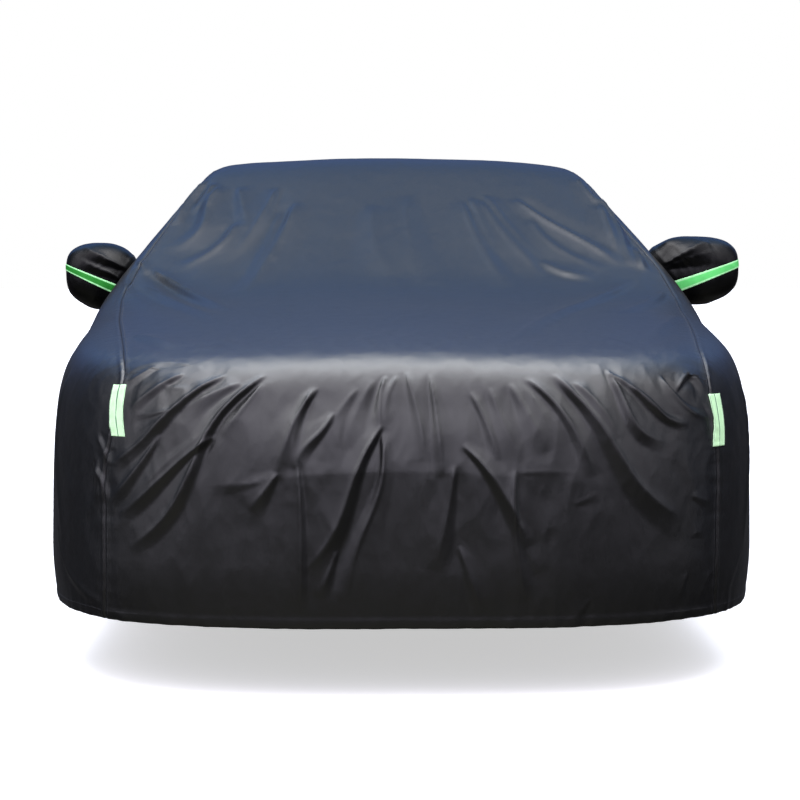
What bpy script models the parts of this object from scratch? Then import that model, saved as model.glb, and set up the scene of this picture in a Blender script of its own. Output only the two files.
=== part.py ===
"""A fitted car cover, as the cloth shell it is when it is pulled on: a long centre panel, two side
panels with a sewn-on pocket each, and four reflective strips.

Metres, +Z up. The nose faces -Y, and +X is to the right of someone who faces the nose. The origin is
the point under the roof on which the cover's weight hangs. In the tables, "back" is the distance
behind the nose and "up" is the height above the ground.
"""

import math
from collections import namedtuple

import bmesh
import bpy
import numpy as np
from mathutils import Matrix, Vector

# --- driving dimensions ---------------------------------------------------------------------------

LENGTH = 4.80  # nose to tail
HALF_WIDTH = 0.955  # at the widest, without the pockets
ROOF_UP = 1.44  # the roof's highest point
ROOF_BACK = 2.65  # where that point is, behind the nose
HEM_UP = 0.18  # the hem, all round
CLOTH = 0.0015  # thickness of the coated cloth with its flannel back
STRIP = 0.0010  # thickness of a reflective strip
GAP = 0.0003  # between a sewn-on piece and its cloth
SEAM_GAP = 0.0005  # between two panels that meet at a seam

# Plan and section of the body form
NOSE_ROUND = 0.75  # length over which the nose rounds off in plan
TAIL_ROUND = 0.62
PLAN_POWER = 3.5  # how square the plan's sides are
ROUND_POWER = 2.0  # and its ends
WALL_POWER = 6.5  # how straight the walls stand
TOP_POWER = 5.5  # how flat the top lies
TUCK_UP = 0.34  # below this the elastic hem draws the cloth in
TUCK_RUN = 0.15
TUCK = 0.05

# Heights of the top
DECK_UP, DECK_RISE = 0.845, 0.125  # the front deck at the nose, and its slope
BELT_UP, BELT_RISE = 0.965, 0.02  # the shoulder behind it
DECK_CROWN = 0.053  # drop of the deck for each square metre of sideways distance
WIND_UP, WIND_BACK, WIND_SLOPE, WIND_WRAP = 0.99, 1.27, 0.50, 0.22
ROOF_BOW, ROOF_CROWN = 0.055, 0.112
SIDE_UP, SIDE_OUT, SIDE_SLOPE = 0.987, 0.891, 1.36
REAR_UP, REAR_BACK, REAR_SLOPE, REAR_WRAP = 1.05, 4.20, 0.44, 0.20
CABIN_EDGE = 0.020  # softness of the edges round the roof
FOOT_EDGE = 0.045  # and of the hollow at its foot
BELT_EDGE = 0.020

# A box well inside the form, from which its surface is found
CORE_HALF_WIDTH = 0.85
CORE_FRONT, CORE_REAR = 0.85, 3.95
CORE_UP = 0.55
REACH = 2.6  # longer than any ray from inside the form to its surface
HALVINGS = 40  # of that length, to find the surface
RAYS = 240  # in each section of the centre line

# Rows of cells along the centre panel: from, to (metres of cloth from the front hem), rows.
# The first and the last section run down the front and the rear corner of a side panel.
Section = namedtuple("Section", "start end rows")
SECTIONS = (
    Section(0.00, 0.72, 10),
    Section(0.72, 1.70, 9),
    Section(1.70, 2.85, 11),
    Section(2.85, 4.05, 5),
    Section(4.05, 5.10, 7),
    Section(5.10, 5.56, 3),
    Section(5.56, 6.34, 10),
)
ACROSS = 19  # cells across the centre panel
FINE_ROWS = 12  # rows whose cells are quartered for the front's folds
SPLIT_ROWS = 29  # rows from there on whose cells are halved across, for the slope's folds
FINE_COLUMNS = 2  # columns quartered on the side panels, behind the front corner
SIDE_CELL = 0.10  # length of the side panels' first and last cells, near enough for their seam gap

# The seam between centre and side panel: metres of cloth from the front hem, half width of the
# centre panel there, and how far the panel sits to the right
Seam = namedtuple("Seam", "along half_width shift")
SEAM = (
    Seam(0.00, 0.784, 0.020),
    Seam(0.40, 0.788, 0.020),
    Seam(0.70, 0.752, 0.034),
    Seam(1.00, 0.762, 0.022),
    Seam(1.60, 0.812, 0.012),
    Seam(1.95, 0.830, 0.006),
    Seam(2.20, 0.796, 0.006),
    Seam(2.62, 0.665, -0.004),
    Seam(2.95, 0.600, 0.000),
    Seam(3.33, 0.585, 0.000),
    Seam(4.00, 0.590, 0.000),
    Seam(4.50, 0.655, 0.000),
    Seam(4.95, 0.722, 0.000),
    Seam(5.40, 0.742, 0.000),
    Seam(6.34, 0.770, 0.000),
)

# Folds. "bow" is how far the middle swings to the left of the line from start to end, "half" the
# half width, "rise" the height off the form, and "dip" the depth of the valley that follows the
# ridge on its left (or, when negative, on its right), as a share of the rise.
Fold = namedtuple("Fold", "x0 at0 x1 at1 bow half rise dip")
FOLD_POINTS = 14  # along each fold
FOLD_FADE = 0.22  # share of its length over which each end fades out
DIP_OFFSET = 1.7  # from the ridge to the valley beside it, in half widths
FOLD_REACH = 3.0  # half widths beyond which a fold is gone
VIEWS = {
    "front": (0.0, -1.0, 0.0),
    "rear": (0.0, 1.0, 0.0),
    "top": (0.0, 0.0, 1.0),
    "left": (-1.0, 0.0, 0.0),
    "right": (1.0, 0.0, 0.0),
}

# Seen from the front: at = height above the ground
FRONT_FOLDS = (
    Fold(-0.35, 0.80, -0.71, 0.37, -0.013, 0.044, 0.018, 0.9),
    Fold(-0.52, 0.64, -0.75, 0.45, -0.014, 0.030, 0.010, 0.8),
    Fold(-0.62, 0.66, -0.78, 0.50, 0.000, 0.028, 0.008, 0.8),
    Fold(-0.46, 0.80, -0.74, 0.60, -0.017, 0.032, 0.011, 0.8),
    Fold(-0.56, 0.82, -0.70, 0.73, 0.000, 0.026, 0.007, 0.8),
    Fold(-0.22, 0.79, -0.31, 0.56, -0.012, 0.032, 0.012, 0.9),
    Fold(-0.19, 0.72, -0.27, 0.22, -0.030, 0.034, 0.012, -0.8),
    Fold(-0.06, 0.68, -0.21, 0.24, -0.019, 0.036, 0.013, -0.7),
    Fold(-0.06, 0.64, -0.14, 0.24, 0.020, 0.036, 0.013, 0.9),
    Fold(-0.05, 0.83, -0.05, 0.55, 0.000, 0.030, 0.012, 0.7),
    Fold(0.06, 0.81, 0.07, 0.32, 0.030, 0.034, 0.014, -0.8),
    Fold(0.16, 0.70, 0.33, 0.32, 0.020, 0.036, 0.014, -0.9),
    Fold(0.18, 0.78, 0.25, 0.55, 0.010, 0.028, 0.009, -0.8),
    Fold(0.24, 0.80, 0.36, 0.56, -0.012, 0.030, 0.010, -0.8),
    Fold(0.33, 0.79, 0.72, 0.43, -0.050, 0.042, 0.018, -0.9),
    Fold(0.40, 0.81, 0.70, 0.64, -0.009, 0.030, 0.011, -0.9),
    Fold(0.54, 0.82, 0.74, 0.69, -0.020, 0.026, 0.008, -0.9),
    Fold(0.45, 0.50, 0.40, 0.20, 0.010, 0.040, 0.010, 0.7),
)

# Seen from above: at = distance behind the nose
TOP_FOLDS = (
    Fold(-0.31, 2.02, -0.46, 1.25, -0.014, 0.042, 0.013, 0.8),
    Fold(-0.45, 2.02, -0.56, 1.45, 0.000, 0.040, 0.010, 0.8),
    Fold(-0.57, 2.06, -0.70, 1.48, 0.040, 0.042, 0.014, 0.8),
    Fold(-0.78, 1.50, -0.49, 0.92, 0.000, 0.046, 0.019, -0.8),
    Fold(-0.79, 1.40, -0.62, 0.45, 0.000, 0.046, 0.012, 0.6),
    Fold(0.22, 2.00, 0.34, 1.28, 0.000, 0.040, 0.011, -0.8),
    Fold(0.34, 2.02, 0.50, 1.42, -0.024, 0.040, 0.011, -0.8),
    Fold(0.44, 2.02, 0.76, 1.50, -0.014, 0.042, 0.016, -0.8),
    Fold(0.62, 2.05, 0.72, 1.53, 0.019, 0.038, 0.012, -0.8),
    Fold(0.77, 1.46, 0.34, 0.60, -0.044, 0.048, 0.018, 0.8),
    Fold(0.81, 1.38, 0.60, 0.80, 0.000, 0.044, 0.012, 0.7),
)

# The rear face hangs in fewer and softer folds. Seen from the front: at = height above the ground
REAR_FOLDS = (
    Fold(-0.52, 0.90, -0.66, 0.30, 0.020, 0.050, 0.014, 0.8),
    Fold(-0.30, 0.93, -0.36, 0.24, 0.020, 0.050, 0.016, 0.8),
    Fold(-0.06, 0.93, -0.10, 0.34, 0.020, 0.046, 0.012, 0.7),
    Fold(0.22, 0.93, 0.30, 0.24, -0.020, 0.050, 0.015, -0.8),
    Fold(0.50, 0.90, 0.63, 0.32, -0.020, 0.050, 0.014, -0.8),
)

# Side panels: back0, up0, back1, up1 in place of x and at, seen from the right
SIDE_FOLDS = (
    Fold(0.52, 0.80, 0.40, 0.30, 0.020, 0.050, 0.012, 0.7),
    Fold(0.95, 0.78, 1.30, 0.30, 0.040, 0.060, 0.014, -0.7),
    Fold(1.85, 0.84, 1.55, 0.30, 0.030, 0.060, 0.012, 0.7),
    Fold(2.60, 0.86, 2.50, 0.24, 0.030, 0.070, 0.014, 0.7),
    Fold(3.20, 0.84, 3.55, 0.28, 0.030, 0.060, 0.012, -0.7),
    Fold(4.20, 0.80, 3.95, 0.30, 0.030, 0.060, 0.012, 0.7),
)

# Pockets: the tip's distance from the plane of symmetry, and the middle of its section
Pocket = namedtuple("Pocket", "name side tip back up")
POCKETS = (
    Pocket("left", -1, 1.028, 1.76, 1.047),
    Pocket("right", 1, 1.064, 1.76, 1.058),
)
POCKET_HALF_UP = 0.099
POCKET_HALF_BACK = 0.105
POCKET_ROOT = 0.72  # the root's size, as a share of the middle's
POCKET_TIP_POWER = 3.4  # how square the tip is
POCKET_BOX_POWER = 2.6  # how square the section is
POCKET_LIFT = 0.016  # how far the root lies below the middle
POCKET_INSIDE = 0.018  # how far the bag starts inside the form, before it is trimmed
MOUTH = 0.80  # the hole in the side panel, as a share of the pocket's root
MOUTH_HALF_LENGTH = 0.12  # of the cutter for it
TRIM_REACH, TRIM_DEPTH = 0.42, 0.05  # the cloth round the root that trims the bag
AROUND, ALONG = 24, 9  # cells of the bag

# Reflective strips on the side panels, seen from the front: middle, half sizes and lean
FrontStrip = namedtuple("FrontStrip", "name side x up half_width half_length lean")
FRONT_STRIPS = (
    FrontStrip("left", -1, 0.742, 0.712, 0.022, 0.068, 5.0),
    FrontStrip("right", 1, 0.824, 0.684, 0.022, 0.068, -5.0),
)
STRIP_REACH = 0.30  # the cloth round its middle that a strip is laid on
STRIP_BOX_DEPTH = 0.08
# and on the pockets
POCKET_STRIP_HALF = 0.016
POCKET_STRIP_TILT = 21.0
POCKET_STRIP_UP = -0.012  # its middle, against the pocket's
POCKET_STRIP_END = 0.005  # bare cloth at its inner end
STRIP_OVER = 0.015  # how far it runs on round the tip

COLOURS = {
    "cloth": ((0.030, 0.036, 0.052, 1.0), 0.45),
    "strip": ((0.330, 0.780, 0.360, 1.0), 0.55),
}
SHARP_ANGLE = math.radians(50)


# --- the form that the cloth lies on --------------------------------------------------------------


def smooth_min(a, b, softness):
    low = np.minimum(a, b)
    return low - softness * np.log(np.exp((low - a) / softness) + np.exp((low - b) / softness))


def smooth_max(a, b, softness):
    return -smooth_min(-a, -b, softness)


def top_up(x, back):
    """Height of the form's top: the decks with the cabin on them."""
    deck = smooth_min(DECK_UP + DECK_RISE * back, BELT_UP + BELT_RISE * back, BELT_EDGE)
    deck = deck - DECK_CROWN * x**2
    front = WIND_UP + WIND_SLOPE * (back - WIND_BACK - WIND_WRAP * x**2)
    roof = ROOF_UP - ROOF_BOW * (back - ROOF_BACK) ** 2 - ROOF_CROWN * x**2
    side = SIDE_UP + SIDE_SLOPE * (SIDE_OUT - abs(x))
    rear = REAR_UP + REAR_SLOPE * (REAR_BACK - REAR_WRAP * x**2 - back)
    cabin = smooth_min(smooth_min(front, roof, CABIN_EDGE), side, CABIN_EDGE)
    cabin = smooth_min(cabin, rear, CABIN_EDGE)
    return smooth_max(deck, cabin, FOOT_EDGE)


def outside(points):
    """Above 0 outside the form and below 0 inside it."""
    x, back, up = points[:, 0], points[:, 1] + ROOF_BACK, points[:, 2] + ROOF_UP
    nose = np.maximum(0, 1 - back / NOSE_ROUND)
    tail = np.maximum(0, 1 - (LENGTH - back) / TAIL_ROUND)
    plan = (abs(x) / HALF_WIDTH) ** PLAN_POWER + nose**ROUND_POWER + tail**ROUND_POWER
    plan = plan * (1 + TUCK * np.maximum(0, (TUCK_UP - up) / TUCK_RUN) ** 2)
    return plan**WALL_POWER + (np.maximum(up, 0) / top_up(x, back)) ** TOP_POWER - 1


def place(x, back, up):
    """Points in the part's own frame."""
    x, back, up = np.broadcast_arrays(np.asarray(x, float), back, up)
    return np.stack([x, back - ROOF_BACK, up - ROOF_UP], axis=-1).reshape(-1, 3)


def shoot(origins, directions):
    """Where rays from inside the form leave it."""
    near = np.zeros(len(origins))
    far = np.full(len(origins), REACH)
    for _ in range(HALVINGS):
        middle = (near + far) / 2
        is_out = outside(origins + middle[:, None] * directions) > 0
        far = np.where(is_out, middle, far)
        near = np.where(is_out, near, middle)
    return origins + near[:, None] * directions


def normals_at(points):
    """Outward normals of the form, by central differences."""
    step = 0.002
    slope = np.stack(
        [outside(points + step * axis) - outside(points - step * axis) for axis in np.eye(3)],
        axis=-1,
    )
    return slope / np.linalg.norm(slope, axis=1, keepdims=True)


def centre_line():
    """Rays that sweep the form from the front hem over the roof to the rear hem, in the plane of
    symmetry: metres of cloth from the front hem, and each ray's origin and angle."""
    same = np.ones(RAYS)
    wall = np.linspace(HEM_UP, CORE_UP, RAYS)
    run = np.linspace(CORE_FRONT, CORE_REAR, RAYS)
    turn = np.linspace(0, np.pi / 2, RAYS)
    level = CORE_UP * same
    front, rear = CORE_FRONT * same, CORE_REAR * same
    backs = np.concatenate([front, front, run, rear, rear])
    ups = np.concatenate([wall, level, level, level, wall[::-1]])
    angles = np.concatenate([0 * same, turn, turn[-1] * same, turn[-1] + turn, np.pi * same])
    found = shoot(place(0, backs, ups), sweep(angles))
    steps = np.linalg.norm(np.diff(found, axis=0), axis=1)
    return np.concatenate([[0], np.cumsum(steps)]), backs, ups, angles


def sweep(angles):
    return np.stack([0 * angles, -np.cos(angles), np.sin(angles)], axis=-1)


LINE = centre_line()
STATIONS = np.concatenate(
    [[0.0]] + [np.linspace(s.start, s.end, s.rows + 1)[1:] for s in SECTIONS]
)
ROWS = len(STATIONS) - 1
CORNER_ROWS = SECTIONS[0].rows
SIDE_COLUMNS = ROWS - 2 * CORNER_ROWS


def centre_points(x, along):
    """Points of the form at a sideways distance and so many metres of cloth from the front hem."""
    along = along * LINE[0][-1] / STATIONS[-1]
    backs, ups, angles = (np.interp(along, LINE[0], column) for column in LINE[1:])
    return shoot(place(x, backs, ups), sweep(angles))


def seam_points(side, rows):
    """Points of the seam, by the number of rows from the front hem."""
    along = np.interp(rows, np.arange(ROWS + 1), STATIONS)
    table = np.array(SEAM).T
    half_width = np.interp(along, table[0], table[1])
    shift = np.interp(along, table[0], table[2])
    return centre_points(side * half_width + shift, along)


# --- folds ----------------------------------------------------------------------------------------


def fold_line(fold, view):
    """A fold's path on the form, as 3-D points."""
    t = np.linspace(0, 1, FOLD_POINTS)
    run = np.array([fold.x1 - fold.x0, fold.at1 - fold.at0])
    left = np.array([-run[1], run[0]]) / np.hypot(*run)
    path = np.outer(1 - t, (fold.x0, fold.at0)) + np.outer(t, (fold.x1, fold.at1))
    path = path + np.outer(4 * t * (1 - t) * fold.bow, left)
    first, second = path.T
    if view in ("front", "rear"):
        origins = place(first, LENGTH / 2, second)
    elif view == "top":
        origins = place(first, second, CORE_UP)
    else:
        origins = place(0, first, second)
    return shoot(origins, np.tile(VIEWS[view], (FOLD_POINTS, 1)))


def fold_rise(fold, view, points, normals):
    """How far one fold lifts each point off the form."""
    line = fold_line(fold, view)
    starts, runs = line[:-1], np.diff(line, axis=0)
    away = points[:, None] - starts
    share = np.clip((away * runs).sum(-1) / (runs**2).sum(-1), 0, 1)
    offset = away - share[..., None] * runs
    distance = np.linalg.norm(offset, axis=-1)
    nearest = distance.argmin(axis=1)
    rows = np.arange(len(points))
    left = np.cross(normals, runs[nearest])
    sign = np.sign((offset[rows, nearest] * left).sum(-1))
    if view in ("rear", "left"):
        sign = -sign
    at = sign * distance[rows, nearest] / fold.half
    t = (nearest + share[rows, nearest]) / len(runs)
    ends = np.clip(np.minimum(t, 1 - t) / FOLD_FADE, 0, 1)
    beyond = np.exp(-np.maximum(0, abs(at) - FOLD_REACH))
    ridge = np.exp(-(at**2))
    valley = abs(fold.dip) * np.exp(-((at - DIP_OFFSET * np.sign(fold.dip)) ** 2))
    return fold.rise * (ridge - valley) * ends * (2 - ends) * beyond


def draped(points):
    """The same points on the cloth, which stands off the form in folds."""
    normals = normals_at(points)
    rise = np.zeros(len(points))
    tables = (
        ("front", FRONT_FOLDS),
        ("top", TOP_FOLDS),
        ("rear", REAR_FOLDS),
        ("left", SIDE_FOLDS),
        ("right", SIDE_FOLDS),
    )
    for view, folds in tables:
        for fold in folds:
            rise += fold_rise(fold, view, points, normals)
    return points + rise[:, None] * normals


# --- pieces ---------------------------------------------------------------------------------------


def material(name):
    made = bpy.data.materials.get(name)
    if made is None:
        colour, roughness = COLOURS[name]
        made = bpy.data.materials.new(name)
        made.use_nodes = True
        shader = made.node_tree.nodes["Principled BSDF"]
        shader.inputs["Base Color"].default_value = colour
        shader.inputs["Roughness"].default_value = roughness
        shader.inputs["Metallic"].default_value = 0.0
    return made


def add_object(name, mesh, collection, finish=None):
    made = bpy.data.objects.new(name, mesh)
    collection.objects.link(made)
    if finish:
        mesh.materials.append(material(finish))
        mesh.shade_smooth()
        mesh.set_sharp_from_angle(angle=SHARP_ANGLE)
    else:
        made.hide_render = True
        made.display_type = "WIRE"
    return made


def thicken(made, inner, outer):
    """Gives an open surface its thickness, from one height above it to another."""
    shell = made.modifiers.new("Thickness", "SOLIDIFY")
    shell.thickness = outer - inner
    shell.offset = (outer + inner) / (outer - inner)
    shell.use_even_offset = True


def cut(made, cutter, operation):
    modifier = made.modifiers.new(cutter.name, "BOOLEAN")
    modifier.operation = operation
    modifier.object = cutter


def flat_grid(columns, rows, fine_columns, fine_rows, split_rows):
    """A flat pattern of cells one unit wide. Those in the first columns and rows are quartered, and
    those in the next rows are halved across."""
    pattern = bmesh.new()
    stretch = Matrix.Diagonal((columns / 2, rows / 2, 1, 1))
    centre = Matrix.Translation((columns / 2, rows / 2, 0))
    bmesh.ops.create_grid(
        pattern, x_segments=columns, y_segments=rows, size=1, matrix=centre @ stretch
    )
    last_row = {True: max(fine_rows, split_rows) + 0.1, False: fine_rows + 0.1}
    cut_edges = []
    for edge in pattern.edges:
        first, second = (vertex.co for vertex in edge.verts)
        runs_across = abs(first.y - second.y) < 0.5
        if max(first.y, second.y) < last_row[runs_across] and max(first.x, second.x) < fine_columns + 0.1:
            cut_edges.append(edge)
    bmesh.ops.subdivide_edges(pattern, edges=cut_edges, cuts=1, use_grid_fill=True)
    bmesh.ops.triangulate(pattern, faces=pattern.faces)
    return pattern


def lay(name, pattern, points):
    """Turns a flat pattern into a mesh whose vertices are at these points, in order."""
    for vertex, point in zip(pattern.verts, points):
        vertex.co = point
    bmesh.ops.recalc_face_normals(pattern, faces=pattern.faces)
    mesh = bpy.data.meshes.new(name)
    pattern.to_mesh(mesh)
    pattern.free()
    return mesh


def faced_out(mesh):
    """Flips the mesh where its faces point into the form."""
    face = mesh.polygons[0]
    if np.dot(face.normal, normals_at(np.array([face.center]))[0]) < 0:
        mesh.flip_normals()
    return mesh


def centre_mesh():
    pattern = flat_grid(ACROSS, ROWS, ACROSS, FINE_ROWS, SPLIT_ROWS)
    flat = np.array([v.co for v in pattern.verts])
    across = flat[:, 0] * 2 / ACROSS - 1
    along = np.interp(flat[:, 1], np.arange(ROWS + 1), STATIONS)
    table = np.array(SEAM).T
    half_width = np.interp(along, table[0], table[1]) - SEAM_GAP / 2
    shift = np.interp(along, table[0], table[2])
    points = centre_points(across * half_width + shift, along)
    return faced_out(lay("centre_panel", pattern, draped(points)))


def round_section(points):
    """Each point as its distance behind the nose and its angle above the core's axis."""
    angle = np.arctan2(points[:, 2] + ROOF_UP - CORE_UP, abs(points[:, 0]))
    return np.stack([points[:, 1] + ROOF_BACK, angle], axis=-1)


def side_mesh(name, side):
    """The side panel fills the patch between the seam, which bounds it in front, above and behind,
    and the hem."""
    pattern = flat_grid(SIDE_COLUMNS, CORNER_ROWS, FINE_COLUMNS, CORNER_ROWS, 0)
    flat = np.array([v.co for v in pattern.verts])
    inset = SEAM_GAP / 2 / SIDE_CELL
    column = np.clip(flat[:, 0], inset, SIDE_COLUMNS - inset)
    row = flat[:, 1] * (1 - SEAM_GAP / 2)
    front = round_section(seam_points(side, row))
    top = round_section(seam_points(side, CORNER_ROWS + column))
    rear = round_section(seam_points(side, ROWS - row))
    ends = round_section(
        seam_points(side, np.array([0, CORNER_ROWS, ROWS - CORNER_ROWS, ROWS]))
    )
    share = (top[:, 0] - ends[1, 0]) / (ends[2, 0] - ends[1, 0])
    hem_back = ends[0, 0] + share * (ends[3, 0] - ends[0, 0])
    outward = np.tile((float(side), 0.0, 0.0), (len(flat), 1))
    hem = round_section(shoot(place(0, hem_back, HEM_UP), outward))
    height = (row / CORNER_ROWS)[:, None]
    share = share[:, None]
    filled = (
        (1 - height) * hem
        + height * top
        + (1 - share) * front
        + share * rear
        - (1 - height) * ((1 - share) * ends[0] + share * ends[3])
        - height * ((1 - share) * ends[1] + share * ends[2])
    )
    back, angle = filled.T
    rays = np.stack([side * np.cos(angle), 0 * angle, np.sin(angle)], axis=-1)
    points = shoot(place(0, back, CORE_UP), rays)
    return faced_out(lay(name, pattern, draped(points)))


def pocket_mesh(pocket, name):
    """A rounded bag, lofted from its mouth, just inside the side panel, to its tip."""
    bag = bmesh.new()
    bmesh.ops.create_grid(bag, x_segments=AROUND, y_segments=ALONG, size=1)
    flat = np.array([v.co for v in bag.verts])
    turn = (flat[:, 0] + 1) * np.pi
    along = (flat[:, 1] + 1) / 2
    along = np.sin(along * np.pi / 2)
    swell = POCKET_ROOT + (1 - POCKET_ROOT) * np.sin(np.minimum(along * 2, 1) * np.pi / 2)
    swell = swell * (1 - along**POCKET_TIP_POWER) ** (1 / POCKET_TIP_POWER)
    around = abs(np.cos(turn)) ** POCKET_BOX_POWER + abs(np.sin(turn)) ** POCKET_BOX_POWER
    swell = swell / around ** (1 / POCKET_BOX_POWER)
    back = pocket.back + POCKET_HALF_BACK * swell * np.cos(turn)
    up = pocket.up + POCKET_HALF_UP * swell * np.sin(turn) - POCKET_LIFT * (1 - along) ** 2
    outward = np.tile((float(pocket.side), 0.0, 0.0), (len(flat), 1))
    root = abs(shoot(place(0, back, up), outward)[:, 0]) - POCKET_INSIDE
    out = root + along * (pocket.tip - root)
    for vertex, point in zip(bag.verts, place(pocket.side * out, back, up)):
        vertex.co = point
    bmesh.ops.remove_doubles(bag, verts=bag.verts, dist=0.0001)
    bmesh.ops.dissolve_degenerate(bag, edges=bag.edges, dist=0.0001)
    bmesh.ops.triangulate(bag, faces=bag.faces)
    bmesh.ops.recalc_face_normals(bag, faces=bag.faces)
    mesh = bpy.data.meshes.new(name)
    bag.to_mesh(mesh)
    bag.free()
    face = max(mesh.polygons, key=lambda f: f.center.x * pocket.side)
    if face.normal.x * pocket.side < 0:
        mesh.flip_normals()
    return mesh


def patch(name, mesh, middle, reach, inner, outer, collection, finish=None):
    """A copy of the cloth round a point, thickened between two heights above it."""
    part = bmesh.new()
    part.from_mesh(mesh)
    middle = Vector(middle)
    far = [face for face in part.faces if (face.calc_center_median() - middle).length > reach]
    bmesh.ops.delete(part, geom=far, context="FACES")
    copy = bpy.data.meshes.new(name)
    part.to_mesh(copy)
    part.free()
    made = add_object(name, copy, collection, finish)
    thicken(made, inner, outer)
    return made


def box_cutter(name, middle, half_sizes, turn, collection):
    mesh = bpy.data.meshes.new(name)
    box = bmesh.new()
    sizes = Matrix.Diagonal([2 * half for half in half_sizes] + [1])
    bmesh.ops.create_cube(box, size=1, matrix=sizes)
    box.to_mesh(mesh)
    box.free()
    made = add_object(name, mesh, collection)
    made.location = middle
    made.rotation_euler = turn
    return made


def tube_cutter(name, middle, half_back, half_up, half_length, collection):
    mesh = bpy.data.meshes.new(name)
    tube = bmesh.new()
    bmesh.ops.create_cone(
        tube,
        cap_ends=True,
        segments=AROUND,
        radius1=1,
        radius2=1,
        depth=2 * half_length,
        matrix=Matrix.Rotation(math.radians(90), 4, "Y"),
    )
    for vertex in tube.verts:
        vertex.co.y *= half_back
        vertex.co.z *= half_up
    tube.to_mesh(mesh)
    tube.free()
    made = add_object(name, mesh, collection)
    made.location = middle
    return made


def add_pocket(pocket, panel, parts, cutters):
    """A pocket on its side panel: the bag is trimmed to the panel, and the panel is open inside it.
    The strip lies slantwise across the bag's front."""
    name = f"mirror_pocket_{pocket.name}"
    bag = add_object(name, pocket_mesh(pocket, name), parts, "cloth")
    outward = np.array([[float(pocket.side), 0.0, 0.0]])
    root = shoot(place(0, pocket.back, pocket.up), outward)[0]
    trim = patch(
        f"{name}_trim", panel.data, root, TRIM_REACH, -TRIM_DEPTH, CLOTH + GAP, cutters
    )
    mouth = tube_cutter(
        f"{name}_mouth",
        root,
        MOUTH * POCKET_ROOT * POCKET_HALF_BACK,
        MOUTH * POCKET_ROOT * POCKET_HALF_UP,
        MOUTH_HALF_LENGTH,
        cutters,
    )
    thicken(bag, 0.0, CLOTH)
    cut(bag, trim, "DIFFERENCE")
    cut(panel, mouth, "DIFFERENCE")

    foot = CLOTH + GAP
    strip_name = f"mirror_strip_{pocket.name}"
    strip = patch(strip_name, bag.data, root, REACH, foot, foot + STRIP, parts, "strip")
    length = pocket.tip - abs(root[0])
    box = box_cutter(
        f"{strip_name}_box",
        place(
            pocket.side * (abs(root[0]) + length / 2 + STRIP_OVER),
            pocket.back - POCKET_HALF_BACK,
            pocket.up + POCKET_STRIP_UP,
        )[0],
        (length / 2 - POCKET_STRIP_END, POCKET_HALF_BACK, POCKET_STRIP_HALF),
        (0, math.radians(-POCKET_STRIP_TILT * pocket.side), 0),
        cutters,
    )
    cut(strip, box, "INTERSECT")
    cut(strip, trim, "DIFFERENCE")


def add_front_strip(strip, panel, parts, cutters):
    """A reflective strip, laid on the side panel beside the front corner's seam."""
    forward = np.array([VIEWS["front"]])
    middle = shoot(place(strip.side * strip.x, LENGTH / 2, strip.up), forward)
    out = normals_at(middle)[0]
    name = f"front_strip_{strip.name}"
    foot = CLOTH + GAP
    band = patch(
        name, panel.data, middle[0], STRIP_REACH, foot, foot + STRIP, parts, "strip"
    )
    box = box_cutter(
        f"{name}_box",
        middle[0],
        (strip.half_width, STRIP_BOX_DEPTH, strip.half_length),
        (0, math.radians(strip.lean), math.atan2(out[0], -out[1])),
        cutters,
    )
    cut(band, box, "INTERSECT")


def main():
    for old in list(bpy.data.objects):
        bpy.data.objects.remove(old, do_unlink=True)
    parts = bpy.data.collections.new("car_cover")
    cutters = bpy.data.collections.new("cutters")
    for collection in (parts, cutters):
        bpy.context.scene.collection.children.link(collection)
    centre = add_object("centre_panel", centre_mesh(), parts, "cloth")
    thicken(centre, 0.0, CLOTH)
    for pocket, strip in zip(POCKETS, FRONT_STRIPS):
        name = f"side_panel_{pocket.name}"
        panel = add_object(name, side_mesh(name, pocket.side), parts, "cloth")
        thicken(panel, 0.0, CLOTH)
        add_front_strip(strip, panel, parts, cutters)
        add_pocket(pocket, panel, parts, cutters)


main()
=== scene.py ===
"""The looks of a fitted car cover: dark coated cloth in crisp folds, sewn from a long centre panel,
two side panels and two pockets, with pale green reflective strips.

Metres, +Z up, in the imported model's frame: the nose faces -Y, +X is to the right of someone who
faces it, and the origin is under the roof. In the tables, "back" is the distance behind the nose
and "up" is the height above the ground. The cloth comes in three steps: the form of the body under
it, the cut as places on that form, and the folds as heights above it.
"""

import math
from collections import namedtuple
from itertools import accumulate

import bmesh
import bpy
import numpy as np
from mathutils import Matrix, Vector, kdtree, noise


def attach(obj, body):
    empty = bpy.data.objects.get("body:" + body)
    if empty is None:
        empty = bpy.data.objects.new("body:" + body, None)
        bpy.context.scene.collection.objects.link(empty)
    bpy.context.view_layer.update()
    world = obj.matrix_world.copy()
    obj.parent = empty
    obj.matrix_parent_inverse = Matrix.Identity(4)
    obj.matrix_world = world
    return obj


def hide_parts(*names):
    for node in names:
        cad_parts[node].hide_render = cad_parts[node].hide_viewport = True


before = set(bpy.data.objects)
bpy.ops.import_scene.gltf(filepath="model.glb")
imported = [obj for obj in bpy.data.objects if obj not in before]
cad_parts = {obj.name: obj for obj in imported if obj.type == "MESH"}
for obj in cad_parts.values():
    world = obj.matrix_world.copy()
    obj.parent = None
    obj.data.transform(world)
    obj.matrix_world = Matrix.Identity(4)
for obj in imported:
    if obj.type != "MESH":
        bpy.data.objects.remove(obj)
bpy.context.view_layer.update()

# --- the body form, as in the solids ---

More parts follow.
